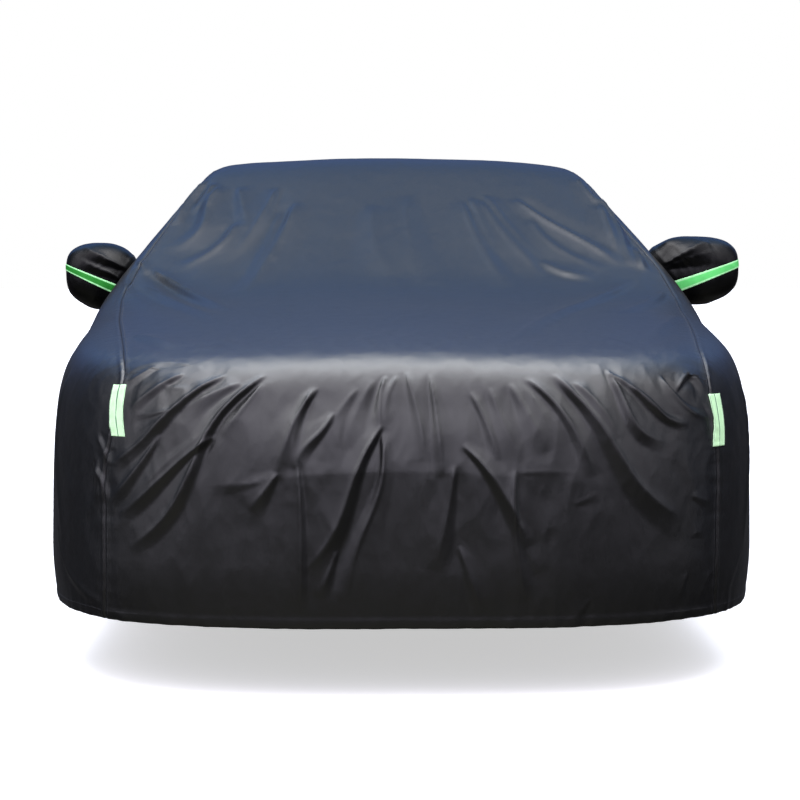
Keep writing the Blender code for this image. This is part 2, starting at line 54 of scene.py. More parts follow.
LENGTH, HALF_WIDTH = 4.80, 0.955
ROOF_UP, ROOF_BACK = 1.44, 2.65
HEM_UP = 0.18
CLOTH, STRIP, GAP, SEAM_GAP = 0.0015, 0.0010, 0.0003, 0.0005
NOSE_ROUND, TAIL_ROUND = 0.75, 0.62
PLAN_POWER, ROUND_POWER, WALL_POWER, TOP_POWER = 3.5, 2.0, 6.5, 5.5
TUCK_UP, TUCK_RUN, TUCK = 0.34, 0.15, 0.05
DECK_UP, DECK_RISE, DECK_CROWN = 0.845, 0.125, 0.053
BELT_UP, BELT_RISE = 0.965, 0.02
WIND_UP, WIND_BACK, WIND_SLOPE, WIND_WRAP = 0.99, 1.27, 0.50, 0.22
ROOF_BOW, ROOF_CROWN = 0.055, 0.112
SIDE_UP, SIDE_OUT, SIDE_SLOPE = 0.987, 0.891, 1.36
REAR_UP, REAR_BACK, REAR_SLOPE, REAR_WRAP = 1.05, 4.20, 0.44, 0.20
CABIN_EDGE, FOOT_EDGE, BELT_EDGE = 0.020, 0.045, 0.020
CORE_FRONT, CORE_REAR, CORE_UP = 0.85, 3.95, 0.55
# Rays from inside find the form: their length, their halvings, and how many sweep each stretch
REACH, HALVINGS, RAYS = 2.6, 34, 240
NORMAL_STEP = 0.002  # to each side, to measure a slope

# --- the cut: metres of cloth from the front hem ---

CORNER, REAR_CORNER, END = 0.72, 5.56, 6.34  # a side panel's upper corners lie at the first two
# The centre panel: metres along, its half width, and how far its middle lies to the right
SEAM = (
    (0.00, 0.784, 0.020), (0.40, 0.788, 0.020), (0.70, 0.752, 0.034), (1.00, 0.762, 0.022),
    (1.60, 0.812, 0.012), (1.95, 0.830, 0.006), (2.20, 0.796, 0.006), (2.62, 0.665, -0.004),
    (2.95, 0.600, 0.000), (3.33, 0.585, 0.000), (4.00, 0.590, 0.000), (4.50, 0.655, 0.000),
    (4.95, 0.722, 0.000), (5.40, 0.742, 0.000), (6.34, 0.770, 0.000),
)
SEAM_EASE = 0.05  # half the stretch over which the table's corners are rounded
EASE_STEPS = 7

# Cells of the centre panel: from, to, length of a cell, cells across
Band = namedtuple("Band", "start end cell across")
CENTRE_BANDS = (
    Band(0.00, 0.72, 0.0050, 360),
    Band(0.72, 1.66, 0.0120, 180),
    Band(1.66, 2.86, 0.0150, 180),
    Band(2.86, 4.10, 0.0280, 90),
    Band(4.10, 5.30, 0.0200, 90),
    Band(5.30, 6.34, 0.0145, 90),
)
EDGE_CELLS = (0.0, 0.0035, 0.0075, 0.0125, 0.019)  # places of the cells beside a seam
EDGE_ROOM = 0.005  # the least room between these and a side panel's other cells
# Cells of a side panel along its upper edge: from, to, length of a cell
SIDE_BANDS = ((0.0, 1.1, 0.0085), (1.1, 4.0, 0.016), (4.0, 4.84, 0.012))
SIDE_ROWS = 100  # its cells from the hem to the seam
# Cloth turned in behind the hem: its reach, and how far it lies behind the outer face
HEM_BACK = ((0.024, 0.0030), (0.012, 0.0034), (0.002, 0.0026))
SEAM_DEPTH = 0.006  # the same for the edges turned in at a seam

# --- points of the form ---


def smooth_min(a, b, softness):
    low = np.minimum(a, b)
    return low - softness * np.log(np.exp((low - a) / softness) + np.exp((low - b) / softness))


def smooth_max(a, b, softness):
    return -smooth_min(-a, -b, softness)


def top_up(x, back):
    """Height of the form's top: the decks with the cabin on them."""
    deck = smooth_min(DECK_UP + DECK_RISE * back, BELT_UP + BELT_RISE * back, BELT_EDGE)
    deck = deck - DECK_CROWN * x**2
    front = WIND_UP + WIND_SLOPE * (back - WIND_BACK - WIND_WRAP * x**2)
    roof = ROOF_UP - ROOF_BOW * (back - ROOF_BACK) ** 2 - ROOF_CROWN * x**2
    side = SIDE_UP + SIDE_SLOPE * (SIDE_OUT - abs(x))
    rear = REAR_UP + REAR_SLOPE * (REAR_BACK - REAR_WRAP * x**2 - back)
    cabin = smooth_min(smooth_min(front, roof, CABIN_EDGE), side, CABIN_EDGE)
    cabin = smooth_min(cabin, rear, CABIN_EDGE)
    return smooth_max(deck, cabin, FOOT_EDGE)


def sizes_of(points):
    """Points as their place sideways, behind the nose and above the ground."""
    return points[:, 0], points[:, 1] + ROOF_BACK, points[:, 2] + ROOF_UP


def outside(points):
    """Above 0 outside the form and below 0 inside it."""
    x, back, up = sizes_of(points)
    nose = np.maximum(0, 1 - back / NOSE_ROUND)
    tail = np.maximum(0, 1 - (LENGTH - back) / TAIL_ROUND)
    plan = (abs(x) / HALF_WIDTH) ** PLAN_POWER + nose**ROUND_POWER + tail**ROUND_POWER
    plan = plan * (1 + TUCK * np.maximum(0, (TUCK_UP - up) / TUCK_RUN) ** 2)
    return plan**WALL_POWER + (np.maximum(up, 0) / top_up(x, back)) ** TOP_POWER - 1


def place(x, back, up):
    """Points in the part's own frame: the reverse of sizes_of."""
    x, back, up = np.broadcast_arrays(np.asarray(x, float), back, up)
    return np.stack([x, back - ROOF_BACK, up - ROOF_UP], axis=-1).reshape(-1, 3)


def shoot(origins, directions):
    """Where rays from inside the form leave it. They may all have one direction."""
    near, far = np.zeros(len(origins)), np.full(len(origins), REACH)
    for _ in range(HALVINGS):
        middle = (near + far) / 2
        is_out = outside(origins + middle[:, None] * directions) > 0
        far = np.where(is_out, middle, far)
        near = np.where(is_out, near, middle)
    return origins + near[:, None] * directions


def lengths(path):
    """The length of a path up to each of its points."""
    steps = np.linalg.norm(np.diff(path, axis=0), axis=1)
    return np.concatenate([[0], np.cumsum(steps)])


def unit(vectors):
    return vectors / np.linalg.norm(vectors, axis=1, keepdims=True)


def normals_at(points):
    """Outward normals of the form, by central differences."""
    steps = NORMAL_STEP * np.eye(3)
    slopes = [outside(points + step) - outside(points - step) for step in steps]
    return unit(np.stack(slopes, axis=-1))


def sweep(angles):
    """Directions by their angle from the front horizon over the zenith."""
    return np.stack([0 * angles, -np.cos(angles), np.sin(angles)], axis=-1)


def centre_line():
    """Rays that sweep the form from the front hem over the roof to the rear hem, in the plane of
    symmetry: metres of cloth from the front hem, and each ray's origin and angle."""
    same = np.ones(RAYS)
    wall = np.linspace(HEM_UP, CORE_UP, RAYS)
    run = np.linspace(CORE_FRONT, CORE_REAR, RAYS)
    turn = np.linspace(0, np.pi / 2, RAYS)
    level = CORE_UP * same
    front, rear = CORE_FRONT * same, CORE_REAR * same
    backs = np.concatenate([front, front, run, rear, rear])
    ups = np.concatenate([wall, level, level, level, wall[::-1]])
    angles = np.concatenate([0 * same, turn, turn[-1] * same, turn[-1] + turn, np.pi * same])
    found = shoot(place(0, backs, ups), sweep(angles))
    return lengths(found), backs, ups, angles


LINE = centre_line()


def centre_points(x, along):
    """Points of the form at a sideways distance and so many metres of cloth from the front hem."""
    along = np.asarray(along, float) * LINE[0][-1] / END
    backs, ups, angles = (np.interp(along, LINE[0], column) for column in LINE[1:])
    return shoot(place(x, backs, ups), sweep(angles))


def seam_cut(along):
    """Half width and shift of the centre panel, with the table's corners rounded."""
    alongs, half_widths, shifts = np.array(SEAM).T
    steps = np.linspace(-SEAM_EASE, SEAM_EASE, EASE_STEPS)
    near = np.clip(np.asarray(along, float)[..., None] + steps, 0, END)
    half_width = np.interp(near, alongs, half_widths).mean(axis=-1)
    return half_width, np.interp(near, alongs, shifts).mean(axis=-1)


def seam_points(side, along):
    half_width, shift = seam_cut(along)
    return centre_points(side * half_width + shift, along)


# --- folds ---

# A fold runs from one point to another. "bow" is how far its middle swings to the left of the
# straight line, and "sway" how far it swings to and fro. "half" is the half width and "rise" the
# height. The cloth climbs slowly to the crest and drops into a hollow, as deep as "dip" says, on
# the left, or on the right where "dip" is negative.
Fold = namedtuple("Fold", "x0 at0 x1 at1 bow sway half rise dip")
MM = 1000  # in a metre
FOLD_POINTS = 20
FADE_IN, FADE_OUT = 0.16, 0.50  # shares of its length over which its two ends fade out
NARROW, NARROW_TOP, WIDE = 0.30, 0.60, 1.60  # its width where it starts, also on top, and ends
CREST = 0.12  # roundness of a crest, in half widths
LIP, LIP_CLIMB = 0.42, 0.50  # share of the height that is the crest's lip, and its width
CLIMB = 5.5  # width of the slope up to it
DROP = 2.4  # width of the steep side
HOLLOW, HOLLOW_RUN = 0.5, 5.0  # the hollow at its foot, by "dip", and the slope out of it
FOLD_SOFT = 0.07  # roundness of the slopes' feet, as a share of the height
FOLD_REACH = 11  # half widths beyond which a fold is gone
VIEWS = {
    "front": (0.0, -1.0, 0.0),
    "rear": (0.0, 1.0, 0.0),
    "top": (0.0, 0.0, 1.0),
    "left": (-1.0, 0.0, 0.0),
    "right": (1.0, 0.0, 0.0),
}


def folds(*rows):
    """A table of folds, from rows that give bow, sway, half and rise in millimetres."""
    return [Fold(*row[:4], *(size / MM for size in row[4:8]), row[8]) for row in rows]


# Seen from the front: at = height above the ground
FRONT_FOLDS = folds(
    # the fan to the left corner
    (-0.35, 0.81, -0.7, 0.37, -6, -27, 8.5, 13, 1.2),
    (-0.48, 0.66, -0.73, 0.45, -2, -4, 9, 10, 1.2),
    (-0.36, 0.79, -0.46, 0.66, -1, 0, 7, 6, -0.3),
    (-0.41, 0.79, -0.57, 0.72, -7, 0, 12, 7, 1),
    (-0.49, 0.68, -0.71, 0.47, -11, 0, 13, 4, 0.5),
    (-0.45, 0.81, -0.76, 0.57, -9, -9, 8.5, 11, 1),
    (-0.62, 0.66, -0.76, 0.48, 9, 0, 9, 8, 1),
    (-0.56, 0.81, -0.7, 0.72, -7, 0, 7.5, 8, 1),
    (-0.61, 0.78, -0.54, 0.77, 0, 0, 5, 3, 1),
    (-0.59, 0.72, -0.69, 0.71, 3, 0, 6, 4, 1),
    (-0.62, 0.83, -0.73, 0.77, -3, 0, 8, 5, 1),
    (-0.55, 0.83, -0.72, 0.81, -13, 0, 6, 3, 1),
    (-0.57, 0.74, -0.68, 0.66, 7, 0, 5, 3, 0.8),
    # the middle
    (-0.22, 0.78, -0.33, 0.56, -15, -3, 8.5, 10, 1),
    (-0.23, 0.78, -0.28, 0.58, -17, 0, 6, 5, 1),
    (-0.18, 0.72, -0.28, 0.58, -5, 6, 8.5, 9, 1),
    (-0.27, 0.6, -0.27, 0.22, 8, 0, 6.5, 8, 1.4),
    (-0.12, 0.78, -0.21, 0.6, -17, -1, 13, 5, 0.8),
    (-0.08, 0.8, -0.15, 0.63, -12, 0, 13, 4, 0.6),
    (-0.32, 0.57, -0.39, 0.48, 2, 0, 10, 8, 1),
    (-0.36, 0.55, -0.48, 0.54, 4, 0, 8, 1.8, 1),
    (-0.05, 0.81, -0.06, 0.67, -12, 0, 6.5, 8, -0.8),
    (-0.06, 0.69, -0.26, 0.32, 11, -12, 11, 14, 1.6),
    (-0.06, 0.68, -0.15, 0.25, 14, 14, 8, 9, -0.8),
    (-0.17, 0.38, -0.22, 0.26, 0, 0, 7, 6, 1),
    (-0.02, 0.81, -0.05, 0.69, -13, 0, 9, 5, -0.6),
    (0, 0.82, 0.04, 0.6, 12, -2, 8.5, 7, -0.9),
    (0.06, 0.81, 0.09, 0.56, 4, 0, 6.5, 8, -1.2),
    (0.12, 0.59, 0.07, 0.33, 4, 0, 10, 9, 1.4),
    (0.14, 0.64, 0.31, 0.39, 17, 2, 9.5, 11, -1.3),
    (0.16, 0.77, 0.23, 0.6, 9, 0, 7, 7, -1),
    (0.21, 0.78, 0.29, 0.6, -4, 0, 12, 5, -0.8),
    (0.27, 0.58, 0.3, 0.25, -14, -1, 9, 8, 1.4),
    (0.27, 0.57, 0.43, 0.57, 4, 0, 7, 1.5, -1),
    (0.42, 0.49, 0.48, 0.52, 0, 0, 6, 1.5, -1),
    # the fan to the right corner
    (0.3, 0.8, 0.47, 0.56, 29, 2, 8.5, 10, -1.2),
    (0.26, 0.79, 0.35, 0.62, 5, 0, 13, 7, -1),
    (0.37, 0.81, 0.71, 0.44, -13, 17, 15, 14, -1.2),
    (0.42, 0.79, 0.53, 0.65, 16, 0, 10, 7, -0.8),
    (0.51, 0.82, 0.66, 0.64, -30, 10, 8.5, 10, -1.3),
    (0.51, 0.81, 0.72, 0.68, -6, 7, 6, 9, -1),
    (0.56, 0.78, 0.72, 0.68, -12, 9, 5, 6, 1),
    (0.65, 0.8, 0.79, 0.69, -22, 3, 7, 9, 1.4),
    (0.69, 0.76, 0.78, 0.75, 44, 6, 8, 8, -1.6),
    (0.13, 0.39, 0.19, 0.22, 2, 0, 7, 5, -1),
    (0.28, 0.45, 0.33, 0.32, -3, 0, 7, 4, -1),
    # beside the hem and the corners
    (-0.79, 0.65, -0.75, 0.57, 0, 0, 7, 5, 1),
    (-0.8, 0.57, -0.77, 0.48, 13, 0, 7, 5, 1),
    (0.77, 0.73, 0.8, 0.63, 9, 0, 6, 4, -1),
    (0.73, 0.5, 0.79, 0.48, -3, 0, 7, 2.5, -1),
    (0.73, 0.39, 0.77, 0.39, 14, 0, 6, 1.2, -1),
    (0.72, 0.3, 0.69, 0.23, 0, 0, 8, 2.5, 1),
    (0.79, 0.3, 0.75, 0.22, 0, 0, 8, 2.5, 1),
    (0.89, 0.33, 0.84, 0.23, -1, 0, 9, 2.5, 1),
    (0.46, 0.25, 0.41, 0.2, 4, 0, 6, 1.8, 1.2),
    (-0.91, 0.43, -0.67, 0.18, -74, -11, 12, 6, -1),
    (-0.79, 0.59, -0.79, 0.47, 2, 0, 9, 5, -1),
    # puckers at the left pocket's root
    (-0.804, 1.068, -0.778, 0.981, -28, 0, 6, 6, 1.2),
    (-0.792, 1.092, -0.759, 1.053, 0, 0, 5, 7, -1),
)

# Seen from above: at = distance behind the nose
TOP_FOLDS = folds(
    # the windshield and the hood
    (-0.31, 1.85, -0.46, 1.22, 6, 0, 14, 13, -1),
    (-0.36, 1.8, -0.45, 1.4, 4, 0, 10, 8.7, 0.8),
    (-0.38, 1.96, -0.49, 1.55, 10, 0, 12, 10.8, 1),
    (-0.5, 1.99, -0.46, 1.69, 3, 0, 12, 8.7, -0.8),
    (-0.5, 1.75, -0.66, 1.51, 43, 0, 14, 13, -1),
    (-0.58, 2.04, -0.63, 1.88, -2, 0, 9, 12, -1),
    (-0.61, 2.09, -0.69, 1.8, -13, 0, 7, 12, 1),
    (-0.56, 2.01, -0.68, 1.64, 26, -18, 13, 13, -1),
    (-0.75, 1.53, -0.48, 0.94, 28, 0, 9, 11.5, -2.4),
    (-0.77, 1.44, -0.5, 0.75, 26, 0, 11, 8, -1.6),
    (-0.72, 0.61, -0.59, 0.36, 7, 0, 14, 8.7, -0.8),
    (0.04, 1.88, 0.08, 1.27, -20, 0, 26, 7.3, 0.5),
    (-0.07, 1.82, -0.02, 1.35, -21, 0, 26, 7.3, -0.5),
    (0.21, 1.86, 0.33, 1.27, -12, 0, 14, 10.8, 0.8),
    (0.24, 1.88, 0.31, 1.51, -1, 0, 10, 8.7, -0.8),
    (0.27, 1.87, 0.44, 1.39, -13, 0, 12, 10.8, 1),
    (0.29, 1.9, 0.45, 1.49, -11, 0, 12, 10.8, -0.8),
    (0.44, 1.5, 0.59, 1.43, -36, 0, 12, 8.7, -0.8),
    (0.38, 1.89, 0.69, 1.53, -17, -6, 13, 14.5, 1),
    (0.42, 1.76, 0.63, 1.48, -47, 0, 12, 8.7, 0.8),
    (0.64, 1.98, 0.71, 1.54, 26, 3, 8, 13.5, 1),
    (0.65, 1.91, 0.68, 1.58, 1, 0, 12, 13, 0.8),
    (0.59, 2.09, 0.65, 1.9, -2, 0, 8, 10.8, 1),
    (0.74, 1.67, 0.75, 1.53, 2, 0, 7, 14.5, 1),
    (0.71, 1.44, 0.28, 0.36, -52, 0, 12, 10, 0.8),
    (0.8, 1.39, 0.62, 0.96, 1, 0, 11, 9, 0.8),
    (0.8, 1.04, 0.64, 0.47, 3, 0, 13, 6, 0.6),
    # the rear slope and deck
    (-0.34, 3.1, -0.5, 3.95, 20, 10, 30, 10, 0.8),
    (-0.05, 3.2, -0.08, 3.9, 10, 10, 34, 8, 0.6),
    (0.3, 3.12, 0.46, 3.92, -20, 10, 30, 11, -0.8),
    (-0.66, 3.85, -0.4, 4.45, 10, 10, 26, 10, 0.8),
    (0.68, 3.88, 0.36, 4.48, -10, 10, 26, 10, -0.8),
)

# The rear face, seen from the front: at = height above the ground
REAR_FOLDS = folds(
    (-0.46, 0.94, -0.7, 0.44, 30, 10, 20, 14, 1),
    (-0.52, 0.9, -0.64, 0.3, 20, 10, 18, 10, 1),
    (-0.3, 0.95, -0.37, 0.24, 20, 10, 20, 13, 1),
    (-0.16, 0.95, -0.18, 0.48, 10, 8, 14, 8, 0.8),
    (-0.04, 0.95, -0.1, 0.3, 20, 10, 18, 11, 0.9),
    (0.1, 0.93, 0.12, 0.52, -10, 8, 14, 8, -0.8),
    (0.22, 0.95, 0.31, 0.24, -20, 10, 20, 13, -1),
    (0.4, 0.94, 0.58, 0.5, -30, 10, 18, 12, -1),
    (0.5, 0.9, 0.66, 0.32, -20, 10, 18, 10, -1),
)

# Side panels: at = height above the ground, and x = distance behind the nose
SIDE_FOLDS = folds(
    (0.52, 0.8, 0.4, 0.3, 20, 10, 20, 10, 0.9),
    (0.95, 0.8, 1.32, 0.3, 40, 10, 22, 13, -0.9),
    (1.3, 0.86, 1.42, 0.52, 10, 10, 18, 9, 0.9),
    (1.82, 0.9, 1.55, 0.3, 30, 10, 22, 13, 0.9),
    (2.05, 0.88, 2.16, 0.4, 20, 10, 20, 9, 0.9),
    (2.6, 0.9, 2.48, 0.24, 30, 15, 24, 13, 0.8),
    (3, 0.86, 3.05, 0.44, 15, 10, 18, 8, 0.8),
    (3.3, 0.9, 3.58, 0.28, 30, 15, 24, 13, -0.8),
    (3.9, 0.9, 3.82, 0.4, 15, 10, 20, 9, 0.8),
    (4.25, 0.86, 4, 0.3, 30, 10, 22, 12, 0.8),
)

# The front face is drawn straight from the hood's edge to the bumper's, and hangs upright below it
SHELF = 0.016  # how far the bumper's edge stands out
SHELF_UP, SHELF_DROOP = 0.575, 0.16  # its height in the middle, and how it falls away sideways
SHELF_ABOVE, SHELF_BELOW = 0.19, 0.30  # run of the slopes above and below it
SHELF_SOFT = 0.08  # roundness of the edge's feet, as a share of it
SHELF_HALF, SHELF_TAPER = 0.66, 1.5  # half its width, and how steeply it fades sideways
SHELF_BACK = 0.30  # how far behind the nose it fades out
DRAWN, DRAWN_UP, DRAWN_HALF = 0.0065, 0.735, 0.050  # the cloth is drawn in above it

# The cloth sags across the roof
ROOF_SAG, SAG_HALF, SAG_RUN = 0.011, 0.36, 0.9

# Uneven cloth: pitch of the waves along x, y and z, their height, and where their noise starts
Wave = namedtuple("Wave", "pitch height seed")
SWELLS = (
    Wave((0.34, 0.60, 0.80), 0.0050, 3.1),
    Wave((0.12, 0.26, 0.40), 0.0014, 7.7),
)
CREASES = (
    Wave((0.075, 0.13, 0.16), 0.0014, 11.3),
    Wave((0.034, 0.055, 0.065), 0.0005, 17.9),
)
CREASE_SHARP = 3  # how steeply the ridges of the creases fall off
CALM_BACK, CALM = 0.35, 0.30  # behind this the creases are only this strong
CALM_UP, CALM_LOW = 0.50, 0.45  # and below this, this strong
CALM_RUN = 0.20  # they weaken over this run

# The hem is turned in and gathered by its elastic
HEM_TURN = 0.026  # height of the turning
HEM_THICK, HEM_STEP = 0.0022, 0.002  # how far it stands out, and over what run
HEM_EDGE = 0.004  # and the run at the hem itself
GATHERS, GATHER_RUN = Wave((0.030, 0.030, 0.5), 0.0030, 5.2), 0.055

# The seams lie in a groove, beside a ridge of turned-in cloth, and pucker
SEAM_STEP = 0.004
GROOVE, GROOVE_HALF = 0.0022, 0.0035
BEAD, BEAD_AT, BEAD_HALF = 0.0018, 0.0085, 0.0050
PUCKER, PUCKER_RUN = 0.0022, 0.030
PUCKER_PITCH, PUCKER_ACROSS = 0.022, 0.125  # along the seam and away from it


def fold_path(fold):
    """A fold's points in its view."""
    t = np.linspace(0, 1, FOLD_POINTS)
    run = np.array([fold.x1 - fold.x0, fold.at1 - fold.at0])
    left = np.array([-run[1], run[0]]) / np.hypot(*run)
    swing = 4 * t * (1 - t) * fold.bow + np.sin(2 * np.pi * t) * fold.sway
    straight = np.outer(1 - t, (fold.x0, fold.at0)) + np.outer(t, (fold.x1, fold.at1))
    return straight + np.outer(swing, left)


def fold_line(fold, view):
    """A fold's path on the form, as 3-D points."""
    first, second = fold_path(fold).T
    if view in ("front", "rear"):
        origins = place(first, LENGTH / 2, second)
    elif view == "top":
        origins = place(first, second, CORE_UP)
    else:
        origins = place(0, first, second)
    return shoot(origins, VIEWS[view])


def fold_profile(at, dip):
    """Height across a fold whose crest is at 0. Its steep side is the positive one."""

    def slope(run):
        return FOLD_SOFT * np.logaddexp(0, (1 - away / run) / FOLD_SOFT)

    away = np.sqrt(at**2 + CREST**2) - CREST
    climb = LIP * np.exp(-away / LIP_CLIMB) + (1 - LIP) * slope(CLIMB)
    hollow = HOLLOW * dip
    drop = (1 + hollow) * slope(DROP) - hollow * slope(DROP + HOLLOW_RUN)
    return np.where(at < 0, climb, drop)


def fold_rise(fold, line, mirrored, points, normals, narrow=NARROW):
    """How far one fold lifts each point off the form."""
    starts, runs = line[:-1], np.diff(line, axis=0)
    away = points[:, None] - starts
    share = np.clip((away * runs).sum(-1) / (runs**2).sum(-1), 0, 1)
    offset = away - share[..., None] * runs
    distance = np.linalg.norm(offset, axis=-1)
    nearest = distance.argmin(axis=1)
    rows = np.arange(len(points))
    left = np.cross(normals, runs[nearest])
    sign = np.sign((offset[rows, nearest] * left).sum(-1))
    sign = sign * (-1 if mirrored else 1) * (1 if fold.dip > 0 else -1)
    t = (nearest + share[rows, nearest]) / len(runs)
    at = sign * distance[rows, nearest] / (fold.half * (narrow + (WIDE - narrow) * t))
    ends = np.clip(np.minimum(t / FADE_IN, (1 - t) / FADE_OUT), 0, 1)
    return fold.rise * fold_profile(at, abs(fold.dip)) * ends * (2 - ends)


def hump(offset, half):
    return np.exp(-((offset / half) ** 2))


def lift(points, normals, tables):
    """The sum of all folds in the tables."""
    rise = np.zeros(len(points))
    for view, folds in tables:
        for fold in folds:
            line = fold_line(fold, view)
            reach = FOLD_REACH * fold.half
            near = (points > line.min(axis=0) - reach) & (points < line.max(axis=0) + reach)
            near = near.all(axis=1)
            if near.any():
                mirrored = view in ("rear", "left")
                narrow = NARROW_TOP if view == "top" else NARROW
                rise[near] += fold_rise(fold, line, mirrored, points[near], normals[near], narrow)
    return rise


def waves(points, wave):
    """Smooth noise from -1 to 1."""
    shrunk = points / np.array(wave.pitch) + wave.seed
    return np.array([noise.noise(Vector(point)) for point in shrunk])


def creases(points, wave):
    """Narrow ridges, along the lines where the noise is 0."""
    return wave.height * (1 - CREASE_SHARP * abs(waves(points, wave)))


def shelf(points, normals):
    """The bumper's edge, and the straight cloth above it, on the front face."""
    x, back, up = sizes_of(points)
    above = up - SHELF_UP + SHELF_DROOP * x**2
    slope = np.where(above > 0, 1 - above / SHELF_ABOVE, 1 + above / SHELF_BELOW)
    height = SHELF * smooth_max(slope, 0 * slope, SHELF_SOFT)
    height = height - DRAWN * hump(up - DRAWN_UP, DRAWN_HALF)
    sideways = np.clip(SHELF_TAPER * (1 - abs(x) / SHELF_HALF), 0, 1)
    return height * sideways * np.clip(1 - back / SHELF_BACK, 0, 1) * np.maximum(0, -normals[:, 1])


TABLES = (
    ("front", FRONT_FOLDS),
    ("top", TOP_FOLDS),
    ("rear", REAR_FOLDS),
    ("left", SIDE_FOLDS),
    ("right", SIDE_FOLDS),
)


def seam_tree():
    """Both seams, to find the place on them that is nearest to a point."""
    tree = kdtree.KDTree(2 * len(SEAM_ALONGS))
    both = np.concatenate([seam_points(side, SEAM_ALONGS) for side in (-1, 1)])
    for index, point in enumerate(both):
        tree.insert(point, index)
    tree.balance()
    return tree


SEAM_ALONGS = np.arange(0, END, SEAM_STEP)
SEAM_TREE = seam_tree()


def draped(points, normals):
    """How far the cloth stands off the form at each point."""
    rise = lift(points, normals, TABLES) + shelf(points, normals)
    for wave in SWELLS:
        rise += wave.height * waves(points, wave)
    x, back, up = sizes_of(points)
    rise -= ROOF_SAG * hump(x, SAG_HALF) * hump(points[:, 1], SAG_RUN)
    calm = CALM + (1 - CALM) * np.clip(1 + (CALM_BACK - back) / CALM_RUN, 0, 1)
    low = np.clip((CALM_UP - up) / CALM_RUN, 0, 1)
    calm = calm * (1 - (1 - CALM_LOW) * low)
    for wave in CREASES:
        rise += calm * creases(points, wave)
    return rise


def edges(points):
    """The cloth's own relief beside its seams and its hem."""
    found = [SEAM_TREE.find(point) for point in points]
    away = np.array([distance for _, _, distance in found])
    along = np.array([index % len(SEAM_ALONGS) for _, index, _ in found]) * SEAM_STEP
    pitch = np.stack([along / PUCKER_PITCH, away / PUCKER_ACROSS, 0 * along], axis=-1)
    pucker = np.array([noise.noise(Vector(point)) for point in pitch])
    rise = BEAD * hump(away - BEAD_AT, BEAD_HALF) - GROOVE * hump(away, GROOVE_HALF)
    rise += PUCKER * pucker * np.exp(-away / PUCKER_RUN) * (1 - np.exp(-away / GROOVE_HALF))
    above_hem = sizes_of(points)[2] - HEM_UP
    rise += GATHERS.height * waves(points, GATHERS) * np.exp(-above_hem / GATHER_RUN)
    turned = (1 - np.tanh((above_hem - HEM_TURN) / HEM_STEP / 2)) / 2
    return rise + HEM_THICK * turned * (1 - np.exp(-above_hem / HEM_EDGE))


def outer_face(points, above=0.0, spans=False):
    """Points of the form moved to the draped cloth's outer face, or above it, and the form's
    normals there. What "spans" lies over the groove of a seam and not in it."""
    normals = normals_at(points)
    relief = edges(points)
    if spans:
        relief = np.maximum(relief, 0)
    rise = draped(points, normals) + relief + CLOTH + above
    return points + rise[:, None] * normals, normals


# --- meshes ---


def spread(cells, width):
    """Places of the cells across a width, closer together at both ends."""
    ends = np.array(EDGE_CELLS)
    inner = np.linspace(ends[-1], width - ends[-1], cells - 2 * len(ends) + 3)
    return np.concatenate([ends[:-1], inner, width - ends[:-1][::-1]])


def strip_faces(counts):
    """Faces of a pattern whose row i has counts[i] cells, the outer two of them turned edges. Two
    rows that meet have as many cells between these, or one has twice as many as the other."""
    starts = [0, *accumulate(count + 1 for count in counts)]
    faces = []
    for row, (below, above) in enumerate(zip(counts, counts[1:])):
        low, high = starts[row], starts[row + 1]
        if below == above:
            faces += [(low + c, low + c + 1, high + c + 1, high + c) for c in range(below)]
            continue
        fewer, fine, coarse = (above, low, high) if below > above else (below, high, low)
        flip = 1 if below > above else -1
        made = []
        for c in range(1, fewer - 1):
            middle = fine + 2 * c
            made += [(middle - 1, middle, coarse + c), (middle, middle + 1, coarse + c + 1)]
            made += [(middle, coarse + c + 1, coarse + c)]
        last = fine + 2 * (fewer - 2) + 1
        made.append((fine, fine + 1, coarse + 1, coarse))
        made.append((last, last + 1, coarse + fewer, coarse + fewer - 1))
        faces += [face[::flip] for face in made]
    return faces


def grid(across, along):
    """Two lists of places as those of a grid's points, row by row."""
    return (places.ravel() for places in np.meshgrid(across, along))


def turns(count):
    return np.linspace(0, 2 * np.pi, count + 1)[:-1]


def grid_faces(rows, columns, closed=False):
    """Faces between rows of points. A closed row's last point meets its first."""
    return [
        (low + c, low + (c + 1) % columns, low + columns + (c + 1) % columns, low + columns + c)
        for low in range(0, (rows - 1) * columns, columns)
        for c in range(columns if closed else columns - 1)
    ]


def add_object(name, data):
    made = bpy.data.objects.new(name, data)
    bpy.context.scene.collection.objects.link(made)
    return made


def add_mesh(name, points, faces, finish):
    mesh = bpy.data.meshes.new(name)
    mesh.from_pydata([tuple(point) for point in points], [], faces)
    mesh.materials.append(finish)
    mesh.shade_smooth()
    return add_object(name, mesh)


def add_cloth(name, points, faces, finish, flat, outward, thickness=0.0):
    """A piece of cloth or tape, with its place in the flat cut. A sheet has no thickness of its
    own but where its edges are turned in."""
    piece = add_mesh(name, points, faces, finish)
    mesh = piece.data
    mesh.update()
    face = mesh.polygons[len(mesh.polygons) // 2]
    if face.normal.dot(Vector(outward(np.array([face.center]))[0])) < 0:
        mesh.flip_normals()
    places = mesh.attributes.new("flat", "FLOAT_VECTOR", "POINT")
    places.data.foreach_set("vector", np.asarray(flat, np.float32).ravel())
    if thickness:
        shell = piece.modifiers.new("Thickness", "SOLIDIFY")
        shell.thickness = thickness
        shell.offset = 1.0
    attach(piece, "root")
    return piece


def turned_ends(cells, width):
    """Places of the cells across a width, and how far each lies behind the outer face: the first
    and the last are the edge of the cloth, turned in at the seam."""
    places = spread(cells, width)
    return np.concatenate([[0], places, [width]]), np.array([SEAM_DEPTH, *(0 * places), SEAM_DEPTH])


